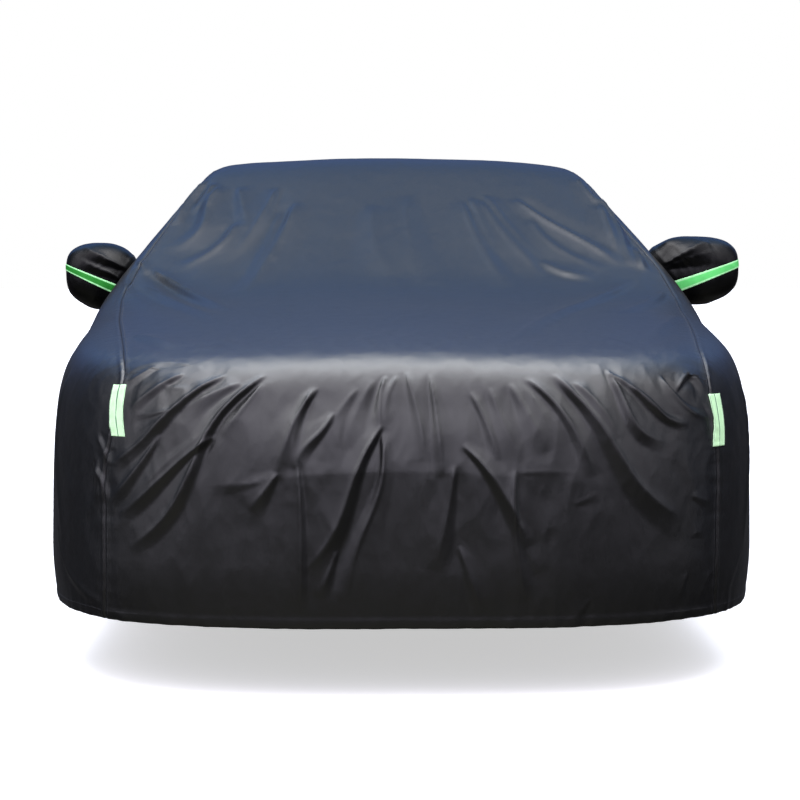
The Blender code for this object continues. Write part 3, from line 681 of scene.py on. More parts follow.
def centre_piece(finish):
    # Metres along the form and along the cut, depth behind the outer face, and cells across
    first, last = CENTRE_BANDS[0].across, CENTRE_BANDS[-1].across
    rows = [(reach, -reach, depth, first) for reach, depth in HEM_BACK]
    for band in CENTRE_BANDS:
        count = round((band.end - band.start) / band.cell)
        steps = np.linspace(band.start, band.end, count + 1)[:-1]
        rows += [(along, along, 0, band.across) for along in steps]
    rows.append((END, END, 0, last))
    rows += [(END - reach, END + reach, depth, last) for reach, depth in reversed(HEM_BACK)]
    half_widths, shifts = seam_cut([row[0] for row in rows])
    columns = []
    for (along, cut, depth, across), half_width, shift in zip(rows, half_widths, shifts):
        half_width = half_width - SEAM_GAP / 2
        places, behind = turned_ends(across, 2 * half_width)
        same = np.ones(len(places))
        x = places - half_width + shift
        columns.append((x, along * same, cut * same, np.maximum(behind, depth)))
    x, along, cut, depth = (np.concatenate(column) for column in zip(*columns))
    points, _ = outer_face(centre_points(x, along), -depth)
    flat = np.stack([x, cut, 0 * x], axis=-1)
    faces = strip_faces([row[3] + 2 for row in rows])
    return add_cloth("centre_cloth", points, faces, finish, flat, normals_at)


def round_section(points):
    """Each point as its distance behind the nose and its angle above the core's axis."""
    angle = np.arctan2(points[:, 2] + ROOF_UP - CORE_UP, abs(points[:, 0]))
    return np.stack([points[:, 1] + ROOF_BACK, angle], axis=-1)


def side_form(side, run, height):
    """Points of a side panel on the form: metres along its upper edge, and height from 0 at the hem
    to 1 at the seam. The panel fills the patch between the seam, which bounds it in front, above
    and behind, and the hem."""
    front = round_section(seam_points(side, height * CORNER))
    top = round_section(seam_points(side, CORNER + run))
    rear = round_section(seam_points(side, END - height * (END - REAR_CORNER)))
    ends = round_section(seam_points(side, np.array([0, CORNER, REAR_CORNER, END])))
    share = (top[:, 0] - ends[1, 0]) / (ends[2, 0] - ends[1, 0])
    hem_back = ends[0, 0] + share * (ends[3, 0] - ends[0, 0])
    hem = round_section(shoot(place(0, hem_back, HEM_UP), (side, 0, 0)))
    height, share = height[:, None], share[:, None]
    filled = (
        (1 - height) * hem
        + height * top
        + (1 - share) * front
        + share * rear
        - (1 - height) * ((1 - share) * ends[0] + share * ends[3])
        - height * ((1 - share) * ends[1] + share * ends[2])
    )
    back, angle = filled.T
    rays = np.stack([side * np.cos(angle), 0 * angle, np.sin(angle)], axis=-1)
    return shoot(place(0, back, CORE_UP), rays)


def side_piece(name, side, mouth, finish):
    """A side panel, with a hole at the pocket's mouth."""
    top = REAR_CORNER - CORNER
    run = np.concatenate([np.arange(start, end, cell) for start, end, cell in SIDE_BANDS])
    run = run[(run > EDGE_CELLS[-1] + EDGE_ROOM) & (run < top - EDGE_CELLS[-1] - EDGE_ROOM)]
    edge = np.array(EDGE_CELLS) + SEAM_GAP / 2
    run = np.concatenate([edge[:1], edge, run, top - edge[::-1], [top - edge[0]]])
    behind = np.zeros(len(run))
    behind[[0, -1]] = SEAM_DEPTH
    height = spread(SIDE_ROWS, CORNER - SEAM_GAP / 2)
    hem = np.array(HEM_BACK)
    cut = np.concatenate([-hem[:, 0], height, height[-1:]])
    height = np.concatenate([hem[:, 0], height, height[-1:]]) / CORNER
    depth = np.concatenate([hem[:, 1], np.zeros(SIDE_ROWS + 1), [SEAM_DEPTH]])
    faces = grid_faces(len(height), len(run))
    depth = np.maximum(depth[:, None], behind).ravel()
    _, cut = grid(run, cut)
    run, height = grid(run, height)
    flat = np.stack([run, cut, 0 * run], axis=-1)
    form = side_form(side, run, height)
    _, back, up = sizes_of(form[np.array(faces)].mean(axis=1))
    back = (back - mouth.back) / POCKET_HALF_BACK
    up = (up - mouth.up + mouth.droop) / mouth.half_up
    outer = back**2 + up**2 > (MOUTH * POCKET_ROOT) ** 2
    faces = [face for face, kept in zip(faces, outer) if kept]
    points, _ = outer_face(form, -depth)
    return add_cloth(name, points, faces, finish, flat, normals_at)


# --- pockets ---

Pocket = namedtuple("Pocket", "name side tip back up half_up droop")
# How far sideways the tip lies, the middle's place, half the height, and how far the root hangs
POCKETS = (
    Pocket("left", -1, 1.028, 1.76, 1.056, 0.101, 0.042),
    Pocket("right", 1, 1.072, 1.76, 1.070, 0.107, 0.034),
)
POCKET_HALF_BACK = 0.105  # half the size from front to back
POCKET_ROOT = 0.78  # the root, as a share of the middle's size
POCKET_TIP_POWER, POCKET_BOX_POWER = 3.4, 2.6  # how square the tip and the section are
POCKET_MIDDLE = 0.9  # how far sideways its middle is
POCKET_FLAT = (0.10, 0.24)  # its radius and its length in the cut
MOUTH = 0.74  # the side panel's hole for a pocket, as a share of the pocket's root
AROUND, ALONG = 184, 80  # its cells
ROOT_CALM = 14  # how soon its creases start, from its root on
ROOT_BEAD_AT, ROOT_BEAD_HALF = 0.045, 0.025  # the sewn ridge, in shares of its length
SAME = 1e-5  # steps below this are none
TINY = 1e-12  # keeps a length from being 0

# Creases of the pockets, seen from the front: at = height above the ground
POCKET_FOLDS = {
    "left": folds(
        (-0.825, 1.062, -0.974, 1.134, 3, 0, 9, 11, 1.4),
        (-0.838, 1.027, -0.984, 1.096, 0, 0, 8, 8, 1.2),
        (-0.9, 0.975, -1.01, 1.01, 4, 0, 12, 3, 0.8),
    ),
    "right": folds(
        (0.826, 1.078, 0.969, 1.155, -3, 0, 9, 11, -1.4),
        (0.835, 1.068, 0.988, 1.12, 4, 0, 11, 10, -1.4),
        (0.92, 0.985, 1.03, 1.01, -6, 0, 12, 3, -0.8),
    ),
}
POCKET_CREASES = (
    Wave((0.110, 0.080, 0.070), 0.0010, 23.0),
    Wave((0.045, 0.040, 0.030), 0.0003, 29.0),
)


def bag_points(pocket, turn, along):
    """Points of a pocket by the angle round it and the share of its length. Its root follows the
    draped side panel."""
    along = np.sin(along * np.pi / 2)
    swell = POCKET_ROOT + (1 - POCKET_ROOT) * np.sin(np.minimum(along * 2, 1) * np.pi / 2)
    swell = swell * (1 - along**POCKET_TIP_POWER) ** (1 / POCKET_TIP_POWER)
    around = abs(np.cos(turn)) ** POCKET_BOX_POWER + abs(np.sin(turn)) ** POCKET_BOX_POWER
    swell = swell / around ** (1 / POCKET_BOX_POWER)
    back = pocket.back + POCKET_HALF_BACK * swell * np.cos(turn)
    up = pocket.up + pocket.half_up * swell * np.sin(turn) - pocket.droop * (1 - along) ** 2
    foot = shoot(place(0, back, up), (pocket.side, 0, 0))
    normals = normals_at(foot)
    root = abs((foot + (draped(foot, normals) + CLOTH + GAP)[:, None] * normals)[:, 0])
    out = root + along * (pocket.tip - root)
    return place(pocket.side * out, back, up)


def vertex_normals(points, faces):
    """Normals of a quad mesh at its points."""
    corners = points[faces]
    across = np.cross(corners[:, 2] - corners[:, 0], corners[:, 3] - corners[:, 1])
    normals = np.zeros_like(points)
    for corner in range(4):
        np.add.at(normals, faces[:, corner], across)
    return normals / np.maximum(np.linalg.norm(normals, axis=1, keepdims=True), TINY)


def front_line(points, normals, path):
    """The points of a pocket's front that lie nearest to a path, seen from the front."""
    tree = kdtree.KDTree(len(points))
    for index in np.flatnonzero(normals[:, 1] < 0):
        tree.insert((points[index, 0], points[index, 2], 0), int(index))
    tree.balance()
    line = points[[tree.find((x, up - ROOF_UP, 0))[1] for x, up in path]]
    steps = np.linalg.norm(np.diff(line, axis=0), axis=1)
    return line[np.concatenate([[True], steps > SAME])]


def pocket_piece(pocket, finish):
    turn, share = grid(turns(AROUND), np.linspace(0, 1, ALONG + 1)[:-1])
    points = bag_points(pocket, turn, share)
    tip = bag_points(pocket, np.zeros(1), np.ones(1))
    faces = grid_faces(ALONG, AROUND, closed=True)
    normals = vertex_normals(points, np.array(faces))
    middle = place(POCKET_MIDDLE * pocket.side, pocket.back, pocket.up)[0]
    if ((points - middle) * normals).sum() < 0:
        normals = -normals
    rise = np.zeros(len(points))
    for fold in POCKET_FOLDS[pocket.name]:
        line = front_line(points, normals, fold_path(fold))
        rise += fold_rise(fold, line, False, points, normals)
    for wave in POCKET_CREASES:
        rise += creases(points, wave)
    rise = rise * (1 - np.exp(-share * ROOT_CALM))
    rise += BEAD * hump(share - ROOT_BEAD_AT, ROOT_BEAD_HALF)
    points = np.concatenate([points + rise[:, None] * normals, tip])
    last = ALONG * AROUND
    faces += [(last - AROUND + c, last - AROUND + (c + 1) % AROUND, last) for c in range(AROUND)]
    radius, length = POCKET_FLAT
    flat = np.stack([turn * radius, share * length, 0 * turn], axis=-1)
    flat = np.concatenate([flat, [[0, length, 0]]])
    name = f"shaded_pocket_cloth_{pocket.name}"
    return add_cloth(name, points, faces, finish, flat, lambda at: at - middle)


# --- reflective tape ---

# Strips on the front corners, beside the seam, seen from the front: place of the middle, half
# sizes, lean in degrees, and how far the middle bows outwards
FrontStrip = namedtuple("FrontStrip", "name side x up half_width half_length lean bow")
FRONT_STRIPS = (
    FrontStrip("left", -1, 0.728, 0.715, 0.0190, 0.064, 0.0, 0.008),
    FrontStrip("right", 1, 0.804, 0.684, 0.0190, 0.066, 4.0, 0.006),
)
FRONT_STRIP_CELLS = 48
# A strip's profile: places across, as shares of its half width from the outer edge, and heights
TAPE_PROFILE = (
    (-1.00, 0.0), (-0.98, 0.5), (-0.90, 0.6), (-0.84, 0.2), (-0.50, 0.1), (-0.13, 0.3),
    (-0.09, 0.2), (-0.06, -0.9), (0.06, -0.9), (0.09, 0.2), (0.13, 0.3), (0.50, 0.1),
    (0.84, 0.2), (0.90, 0.6), (0.98, 0.5), (1.00, 0.0),
)
TAPE_RELIEF = 0.0005  # the unit of these heights
# Strips on the pockets: height of the middle, tilt in degrees, and half width
PocketStrip = namedtuple("PocketStrip", "up tilt half")
POCKET_STRIPS = {
    "left": PocketStrip(1.029, 23.5, 0.0125),
    "right": PocketStrip(1.038, 20.0, 0.0155),
}
POCKET_STRIP_TAPER = 2.0  # degrees between its middle line and each edge
POCKET_STRIP_END = 0.005  # bare cloth at its inner end
STRIP_REACH = 0.30  # the cloth round its middle that a strip is cut from
FACING = 0.05  # how far that cloth has to face the front
WELT = 0.0028  # width of the cells along its edges
CUT_NEAR = 1e-6  # points closer to a cut than this lie on it


def strip_spots(strip, across, along):
    """Points of the form under a front strip: across it from -1 at its outer edge to 1 at its inner
    one, and along it from -1 at its foot to 1 at its top."""
    lean = math.radians(strip.lean)
    out = strip.x + strip.bow * (1 - along**2) - across * strip.half_width
    out = out - along * strip.half_length * math.sin(lean)
    up = strip.up + along * strip.half_length * math.cos(lean)
    return shoot(place(strip.side * out, LENGTH / 2, up), VIEWS["front"])


def front_tape(strip, finish):
    """A reflective strip, laid on the draped cloth of the front corner."""
    profile = np.array(TAPE_PROFILE)
    along = np.linspace(-1, 1, FRONT_STRIP_CELLS + 1)
    faces = grid_faces(len(along), len(profile))
    height = np.tile(profile[:, 1], len(along))
    across, along = grid(profile[:, 0], along)
    above = GAP + TAPE_RELIEF * (1 + height)
    points, _ = outer_face(strip_spots(strip, across, along), above, spans=True)
    flat = np.stack([across, along * strip.half_length, 0 * across], axis=-1)
    name = f"front_band_{strip.name}"
    return add_cloth(name, points, faces, finish, flat, normals_at, STRIP)


def pocket_tape(pocket, bag, finish):
    """A reflective strip slantwise across a pocket's front and round its tip: the cloth under it,
    cut straight as seen from the front and raised."""

    def direction(degrees):
        tilt = math.radians(degrees)
        return Vector((pocket.side * math.cos(tilt), 0, math.sin(tilt)))

    root = abs(float(shoot(place(0, pocket.back, pocket.up), (pocket.side, 0, 0))[0][0]))
    half_length = (pocket.tip - root) / 2
    out = pocket.side * (root + half_length)
    strip = POCKET_STRIPS[pocket.name]
    middle = Vector(place(out, pocket.back - POCKET_HALF_BACK, strip.up)[0])
    work = bmesh.new()
    work.from_mesh(bag.data)
    far = [
        face
        for face in work.faces
        if (face.calc_center_median() - middle).length > STRIP_REACH or face.normal.y > FACING
    ]
    bmesh.ops.delete(work, geom=far, context="FACES")
    upper = direction(strip.tilt - POCKET_STRIP_TAPER + 90)
    lower = direction(strip.tilt + POCKET_STRIP_TAPER - 90)
    along, across = direction(strip.tilt), direction(strip.tilt + 90)
    cuts = (
        (middle + strip.half * upper, upper, True),
        (middle + strip.half * lower, lower, True),
        (middle + (strip.half - WELT) * upper, upper, False),
        (middle + (strip.half - WELT) * lower, lower, False),
        (middle - (half_length - POCKET_STRIP_END) * along, -along, True),
        (Vector((0, pocket.back - ROOF_BACK, 0)), Vector((0, 1, 0)), True),
    )
    for spot, facing, clear in cuts:
        bmesh.ops.bisect_plane(
            work,
            geom=[*work.verts, *work.edges, *work.faces],
            dist=CUT_NEAR,
            plane_co=spot,
            plane_no=facing,
            clear_outer=clear,
        )
    work.normal_update()
    points = np.array([vertex.co for vertex in work.verts])
    normals = np.array([vertex.normal for vertex in work.verts])
    faces = [[vertex.index for vertex in face.verts] for face in work.faces]
    work.free()
    v = (points - middle) @ np.array(along)
    half = strip.half - v * math.tan(math.radians(POCKET_STRIP_TAPER))
    flat = np.stack([(points - middle) @ np.array(across) / half, v, 0 * v], axis=-1)

    def outward_at(at):
        return at - np.array(middle) + VIEWS["front"]

    name = f"mirror_band_{pocket.name}"
    return add_cloth(name, points + GAP * normals, faces, finish, flat, outward_at, STRIP)


# --- stitches ---

STITCH_PITCH, STITCH_LONG, STITCH_THICK = 0.0062, 0.0046, 0.0009
STITCH_SIDES = 6
# Rings of points that make a stitch: place along it, and width, as shares of its own
STITCH_RINGS = ((-0.5, 0.35), (-0.36, 0.9), (0.0, 1.0), (0.36, 0.9), (0.5, 0.35))
STITCH_DIP = 0.3  # how far its ends dip into the cloth
SEAM_STITCH = 0.0085  # beside the seam, on the centre panel
HEM_STITCH, HEM_PITCH, HEM_RAYS = 0.0235, 0.0075, 1600  # above the hem
BAND_STITCH, BAND_END = 0.93, 0.97  # on a front strip, as shares of its half sizes
BAND_PITCH, BAND_POINTS = 0.004, 60
BAND_BED = 0.6  # the strip's profile under them


def between(at, steps, values):
    return np.stack([np.interp(at, steps, column) for column in values.T], axis=-1)


def stitches(name, path, normals, finish, pitch=STITCH_PITCH):
    """A row of stitches along a path on the cloth, as one piece."""
    steps = lengths(path)
    count = int(steps[-1] / pitch)
    at = (np.arange(count) + 0.5) * pitch
    spots = between(at, steps, path)
    facing = unit(between(at, steps, normals))
    along = unit(between(at + pitch / 4, steps, path) - spots)
    across = np.cross(along, facing)
    points = [
        spots
        + share * STITCH_LONG * along
        + width * STITCH_THICK / 2 * (np.cos(angle) * across + np.sin(angle) * facing)
        - STITCH_DIP * STITCH_THICK * (1 - math.cos(2 * share)) * facing
        for share, width in STITCH_RINGS
        for angle in turns(STITCH_SIDES)
    ]
    points = np.stack(points, axis=1).reshape(-1, 3)
    size = STITCH_SIDES * len(STITCH_RINGS)
    one = grid_faces(len(STITCH_RINGS), STITCH_SIDES, closed=True)
    one += [tuple(range(STITCH_SIDES))[::-1], tuple(range(size - STITCH_SIDES, size))]
    firsts = range(0, count * size, size)
    faces = [tuple(corner + first for corner in face) for first in firsts for face in one]
    piece = add_mesh(name, points, faces, finish)
    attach(piece, "root")


def seam_stitches(pocket, finish):
    along = SEAM_ALONGS + SEAM_STEP / 2
    half_width, shift = seam_cut(along)
    points = centre_points(pocket.side * (half_width - SEAM_STITCH) + shift, along)
    stitches(f"seam_thread_{pocket.name}", *outer_face(points), finish)


def hem_stitches(finish):
    turn = np.linspace(0, 2 * np.pi, HEM_RAYS)
    rays = np.stack([np.sin(turn), -np.cos(turn), 0 * turn], axis=-1)
    points = shoot(place(0 * turn, ROOF_BACK, HEM_UP + HEM_STITCH), rays)
    stitches("hem_thread", *outer_face(points), finish, HEM_PITCH)


def tape_stitches(strip, finish):
    """Stitches along both long edges of a front strip."""
    along = np.linspace(-BAND_END, BAND_END, BAND_POINTS)
    above = GAP + TAPE_RELIEF * (1 + BAND_BED) + STRIP
    for word, across in (("outer", -BAND_STITCH), ("inner", BAND_STITCH)):
        spots = strip_spots(strip, across, along)
        path, normals = outer_face(spots, above, spans=True)
        stitches(f"band_thread_{strip.name}_{word}", path, normals, finish, BAND_PITCH)


# --- materials ---


def fill(node, inputs):
    """Links a node's inputs to sockets, or sets them to numbers and colours."""
    for name, value in inputs.items():
        if isinstance(value, bpy.types.NodeSocket):
            node.id_data.links.new(value, node.inputs[name])
        else:
            node.inputs[name].default_value = value


def add_node(tree, kind, inputs, **values):
    node = tree.nodes.new("ShaderNode" + kind)
    for name, value in values.items():
        setattr(node, name, value)
    fill(node, inputs)
    return node


def maths(tree, operation, *values):
    """A sum, product and so on of sockets and numbers."""
    return add_node(tree, "Math", dict(enumerate(values)), operation=operation).outputs[0]


def times(tree, *values):
    return maths(tree, "MULTIPLY", *values)


def sine(tree, value, pitch):
    return maths(tree, "SINE", times(tree, value, 2 * math.pi / pitch))


def scaled(tree, value, low, high, to_low=0.0, to_high=1.0, kind="LINEAR"):
    """A value between two limits, as one between two others."""
    limits = {"From Min": low, "From Max": high, "To Min": to_low, "To Max": to_high}
    node = add_node(tree, "MapRange", {"Value": value, **limits}, interpolation_type=kind)
    return node.outputs["Result"]


def ramp(tree, share, stops, most):
    """A ramp of colours, or of brightnesses, from the first stop to the last."""
    node = add_node(tree, "ValToRGB", {"Fac": share})
    low, high = stops[0][0], stops[-1][0]
    elements = node.color_ramp.elements
    for index, (at, colour) in enumerate(stops):
        position = (at - low) / (high - low)
        element = elements[index] if index < 2 else elements.new(position)
        element.position = position
        parts = colour if isinstance(colour, tuple) else (colour,) * 3
        element.color = (*(part / most for part in parts), 1)
    return node.outputs["Color"]


def uneven(tree, where, scale, detail, kind="FBM"):
    """Noise from 0 to 1."""
    inputs = {"Vector": where, "Scale": scale, "Detail": detail}
    return add_node(tree, "TexNoise", inputs, noise_type=kind).outputs["Fac"]


def plain(name, colour, roughness):
    """A material of one colour: itself, its node tree and its shader."""
    made = bpy.data.materials.new(name)
    made.use_nodes = True
    shader = made.node_tree.nodes["Principled BSDF"]
    fill(shader, {"Base Color": (*colour, 1), "Roughness": roughness})
    return made, made.node_tree, shader


def own_place(tree):
    """Where a point lies in the part's frame."""
    return add_node(tree, "TexCoord", {}).outputs["Object"]


def flat_place(tree):
    """Where it lies in the flat cut: metres across and along."""
    flat = add_node(tree, "Attribute", {}, attribute_name="flat")
    parts = add_node(tree, "SeparateXYZ", {0: flat.outputs["Vector"]})
    return parts.outputs["X"], parts.outputs["Y"]


def tinted(tree, shader, colour, share, low, high):
    """The colour from "low" to "high" times as bright, by a share from 0 to 1."""
    low, high = ((*(bright * part for part in colour), 1) for bright in (low, high))
    mix = add_node(tree, "Mix", {}, data_type="RGBA")
    fill(mix, {"A": low, "B": high, "Factor": share})
    fill(shader, {"Base Color": mix.outputs["Result"]})


def raised(tree, shader, height):
    """Relief by a height in metres."""
    bump = add_node(tree, "Bump", {"Distance": 1.0, "Height": height})
    fill(shader, {"Normal": bump.outputs["Normal"]})


THREAD_PITCH, THREAD_HEIGHT = 0.0011, 0.00004  # of the weave
UNEVEN_SCALE, GRAIN_SCALE, CRINKLE_SCALE = 1.7, 70.0, 11.0
UNEVEN_DETAIL, GRAIN_DETAIL, CRINKLE_DETAIL = 4.0, 5.0, 3.0
UNEVEN = 0.22  # how much the dye varies
THREAD_GAP = 0.18  # and how much darker it is between the threads
GRAIN_LOW, GRAIN_HIGH, ROUGH_VARIES = 0.3, 0.7, 0.03
SHEEN, SHEEN_ROUGHNESS = 0.02, 0.4


def woven(name, colour, roughness, grain_height, crinkle_height):
    """Tightly woven and coated cloth: threads, a grain, fine crinkles and an uneven dye."""
    made, tree, shader = plain(name, colour, roughness)
    where = own_place(tree)
    across, along = flat_place(tree)
    weave = times(tree, sine(tree, across, THREAD_PITCH), sine(tree, along, THREAD_PITCH))
    dye = uneven(tree, where, UNEVEN_SCALE, UNEVEN_DETAIL)
    grain = uneven(tree, where, GRAIN_SCALE, GRAIN_DETAIL)
    crinkle = uneven(tree, where, CRINKLE_SCALE, CRINKLE_DETAIL, "RIDGED_MULTIFRACTAL")
    height = times(tree, weave, THREAD_HEIGHT)
    for relief, size in ((grain, grain_height), (crinkle, crinkle_height)):
        height = maths(tree, "ADD", height, times(tree, relief, size))
    raised(tree, shader, height)
    share = maths(tree, "ADD", dye, times(tree, weave, THREAD_GAP))
    tinted(tree, shader, colour, share, 1 - UNEVEN, 1 + UNEVEN)
    low, high = roughness - ROUGH_VARIES, roughness + ROUGH_VARIES
    rough = scaled(tree, grain, GRAIN_LOW, GRAIN_HIGH, low, high)
    sheen = {"Sheen Weight": SHEEN, "Sheen Roughness": SHEEN_ROUGHNESS}
    fill(shader, {"Roughness": rough, **sheen})
    return made


PRISM_SCALE, PRISM_HEIGHT = 420.0, 0.00012  # of the tape's reflecting beads
CROSS_PITCH, CROSS_SHARP, CROSS_SHADE = 0.0085, 8.0, 0.10  # of its faint cross marks
WORN_SCALE, WORN_DETAIL = 60.0, 3.0
WORN_LOW, WORN_HIGH, DULLEST, BRIGHTEST = 0.35, 0.75, 0.93, 1.06
TAPE_COLOUR, TAPE_ROUGHNESS = (0.42, 0.84, 0.45), 0.45
PAINTED_TAPE_GLOW = 0.45  # painted light: an even glow by emission, in place of what the tape sends back towards the viewer


def reflective(name, stops, gleam):
    """Retroreflective tape: brightness by place across it, a grain of beads, faint cross marks, and
    a glow by emission that is painted light in place of its retroreflection.
    """
    made, tree, shader = plain(name, TAPE_COLOUR, TAPE_ROUGHNESS)
    where = own_place(tree)
    across, along = flat_place(tree)
    beads = add_node(tree, "TexVoronoi", {"Vector": where, "Scale": PRISM_SCALE})
    cross = maths(tree, "ABSOLUTE", sine(tree, along, CROSS_PITCH))
    cross = times(tree, maths(tree, "POWER", cross, CROSS_SHARP), CROSS_SHADE)
    worn = maths(tree, "ADD", cross, uneven(tree, where, WORN_SCALE, WORN_DETAIL))
    worn = scaled(tree, worn, WORN_LOW, WORN_HIGH, DULLEST, BRIGHTEST)
    bands = ramp(tree, scaled(tree, across, -1, 1), stops, 1.0)
    tone = add_node(tree, "VectorMath", {}, operation="SCALE")
    fill(tone, {0: bands, "Scale": worn})
    raised(tree, shader, times(tree, beads.outputs["Distance"], PRISM_HEIGHT))
    # The tape glows in its own colours by emission: painted light.
    fill(shader, {"Base Color": tone.outputs[0], "Emission Color": tone.outputs[0]})
    fill(shader, {"Emission Strength": PAINTED_TAPE_GLOW, "Specular IOR Level": gleam})
    return made


# Colours across a strip, from its outer or lower edge to its inner or upper one
MINT, PALE, SLIT = (0.40, 0.62, 0.37), (0.44, 0.66, 0.42), (0.07, 0.15, 0.08)
# Both pockets carry the same tape: the left strip's darker green is painted shade, the right
# strip's lighter green painted light.
SHADED_AND_LIT_GREENS = {"left": (0.016, 0.145, 0.020), "right": (0.085, 0.42, 0.115)}  # of the pockets' strips
POCKET_PALE = (0.26, 0.56, 0.28)
FRONT_TAPE_STOPS = (
    (-1.0, PALE), (-0.84, PALE), (-0.76, MINT), (-0.24, MINT), (-0.16, PALE), (-0.10, PALE),
    (-0.07, SLIT), (0.07, SLIT), (0.10, PALE), (0.16, PALE), (0.24, MINT), (0.76, MINT),
    (0.84, PALE), (1.0, PALE),
)
POCKET_TAPE_STOPS = {
    name: (
        (-1.0, POCKET_PALE), (-0.74, POCKET_PALE), (-0.58, green),
        (0.58, green), (0.74, POCKET_PALE), (1.0, POCKET_PALE),
    )
    for name, green in SHADED_AND_LIT_GREENS.items()
}
FUZZ_SCALE, FUZZ_DETAIL, FUZZ_HEIGHT = 2500.0, 2.0, 0.0001
THREAD_ROUGHNESS, THREAD_DARK, THREAD_LIGHT = 0.6, 0.7, 1.3


def spun(name, colour):
    """Sewing thread, fuzzy and unevenly dyed."""
    made, tree, shader = plain(name, colour, THREAD_ROUGHNESS)
    fuzz = uneven(tree, own_place(tree), FUZZ_SCALE, FUZZ_DETAIL)
    tinted(tree, shader, colour, fuzz, THREAD_DARK, THREAD_LIGHT)
    raised(tree, shader, times(tree, fuzz, FUZZ_HEIGHT))
    return made


# --- studio ---

LENS, SENSOR, FAR = 120, 36, 200
CAMERA_AT = (-0.1237, -9.2548, -0.3029)
CAMERA_DOWN, CAMERA_ASIDE = 3.319, 0.9364  # where it looks, in degrees
Lamp = namedtuple("Lamp", "name spot target size watts")
LAMPS = (
    Lamp("softbox", (0.0, -1.75, 1.3), (0.0, -2.1, 0.0), (2.4, 1.5), 60),
    Lamp("left_box", (-1.75, -2.95, 1.45), (0.0, -2.6, -0.7), (1.1, 0.9), 14),
    Lamp("right_box", (1.75, -2.95, 1.45), (0.0, -2.6, -0.7), (1.1, 0.9), 12),
    Lamp("rear_box", (0.0, 4.7, -0.8), (0.0, 2.1, -0.85), (1.5, 0.8), 30),
)
WHITE = (1, 1, 1, 1)
FLOOR_HALF, FLOOR_GREY, FLOOR_ROUGHNESS = 60, 0.7, 0.8
FLOOR_GLOW = 0.55  # it fades into the white backdrop


def aim(name, data, spot, direction):
    """A camera or a lamp, turned in a direction."""
    made = add_object(name, data)
    made.location = spot
    made.rotation_euler = direction.to_track_quat("-Z", "Y").to_euler()
    return made


def add_camera():
    """The camera at the photograph's angle."""
    lens = bpy.data.cameras.new("camera")
    lens.lens, lens.sensor_width, lens.clip_end = LENS, SENSOR, FAR
    down, aside = math.radians(CAMERA_DOWN), math.radians(CAMERA_ASIDE)
    level = math.cos(down)
    looks = Vector((math.sin(aside) * level, math.cos(aside) * level, -math.sin(down)))
    bpy.context.scene.camera = aim("camera", lens, CAMERA_AT, looks)


def add_lamp(lamp):
    box = bpy.data.lights.new(lamp.name, "AREA")
    box.shape = "RECTANGLE"
    box.size, box.size_y = lamp.size
    box.energy = lamp.watts
    light = aim(lamp.name, box, lamp.spot, Vector(lamp.target) - Vector(lamp.spot))
    light.visible_camera = False


# The studio, as the cloth mirrors it: light from each direction, by the angle above the front
# horizon, with the zenith at 90 and the rear horizon at 180. It falls off towards both sides.
STUDIO = (
    (-90, (0.24, 0.24, 0.19)),
    (-34, (0.31, 0.30, 0.24)),
    (-8, (0.070, 0.070, 0.068)),
    (1, (0.215, 0.205, 0.235)),
    (8, (1.6, 1.55, 1.85)),
    (30, (2.6, 2.5, 2.95)),
    (62, (4.2, 4.1, 4.5)),
    (86, (5.6, 5.6, 6.0)),
    (106, (1.40, 1.64, 2.10)),
    (128, (0.155, 0.36, 0.655)),
    (150, (0.13, 0.29, 0.70)),
    (164, (0.066, 0.135, 0.41)),
    (173, (0.03, 0.05, 0.10)),
    (180, (0.02, 0.02, 0.03)),
    (270, (0.12, 0.12, 0.10)),
)
STUDIO_MOST = 6.0  # the ramp's colours are shares of this
# How bright it is from left to right, in front and behind
FRONT_SIDEWAYS = (
    (-1.0, 0.30), (-0.85, 0.58), (-0.62, 0.66), (-0.33, 0.92), (-0.13, 0.92), (-0.03, 1.12),
    (0.05, 1.12), (0.14, 0.92), (0.31, 0.66), (0.58, 0.40), (0.83, 0.32), (1.0, 0.30),
)
REAR_SIDEWAYS = (
    (-1.0, 0.30), (-0.85, 0.10), (-0.62, 0.15), (-0.5, 0.8), (-0.42, 1.5), (-0.3, 1.5),
    (-0.16, 1.12), (-0.07, 0.96), (0.02, 1.0), (0.06, 0.96), (0.11, 0.84), (0.15, 0.82),
    (0.24, 1.2), (0.34, 1.5), (0.44, 1.1), (0.54, 0.6), (0.66, 0.15), (0.85, 0.08), (1.0, 0.30),
)
# and low behind, where the shoulders mirror it
LOW_SIDEWAYS = (
    (-1.0, 0.02), (-0.36, 0.08), (-0.2, 0.32), (-0.12, 0.95), (0.0, 1.0), (0.06, 0.96),
    (0.11, 0.84), (0.16, 0.75), (0.26, 0.30), (1.0, 0.02),
)
SIDEWAYS_MOST = 1.6
FRONT_TO, REAR_FROM = -0.25, 0.30  # where the front ends and the rear starts, along Y
REAR_TO, LOW_FROM = 0.86, 0.95  # and where the low part starts


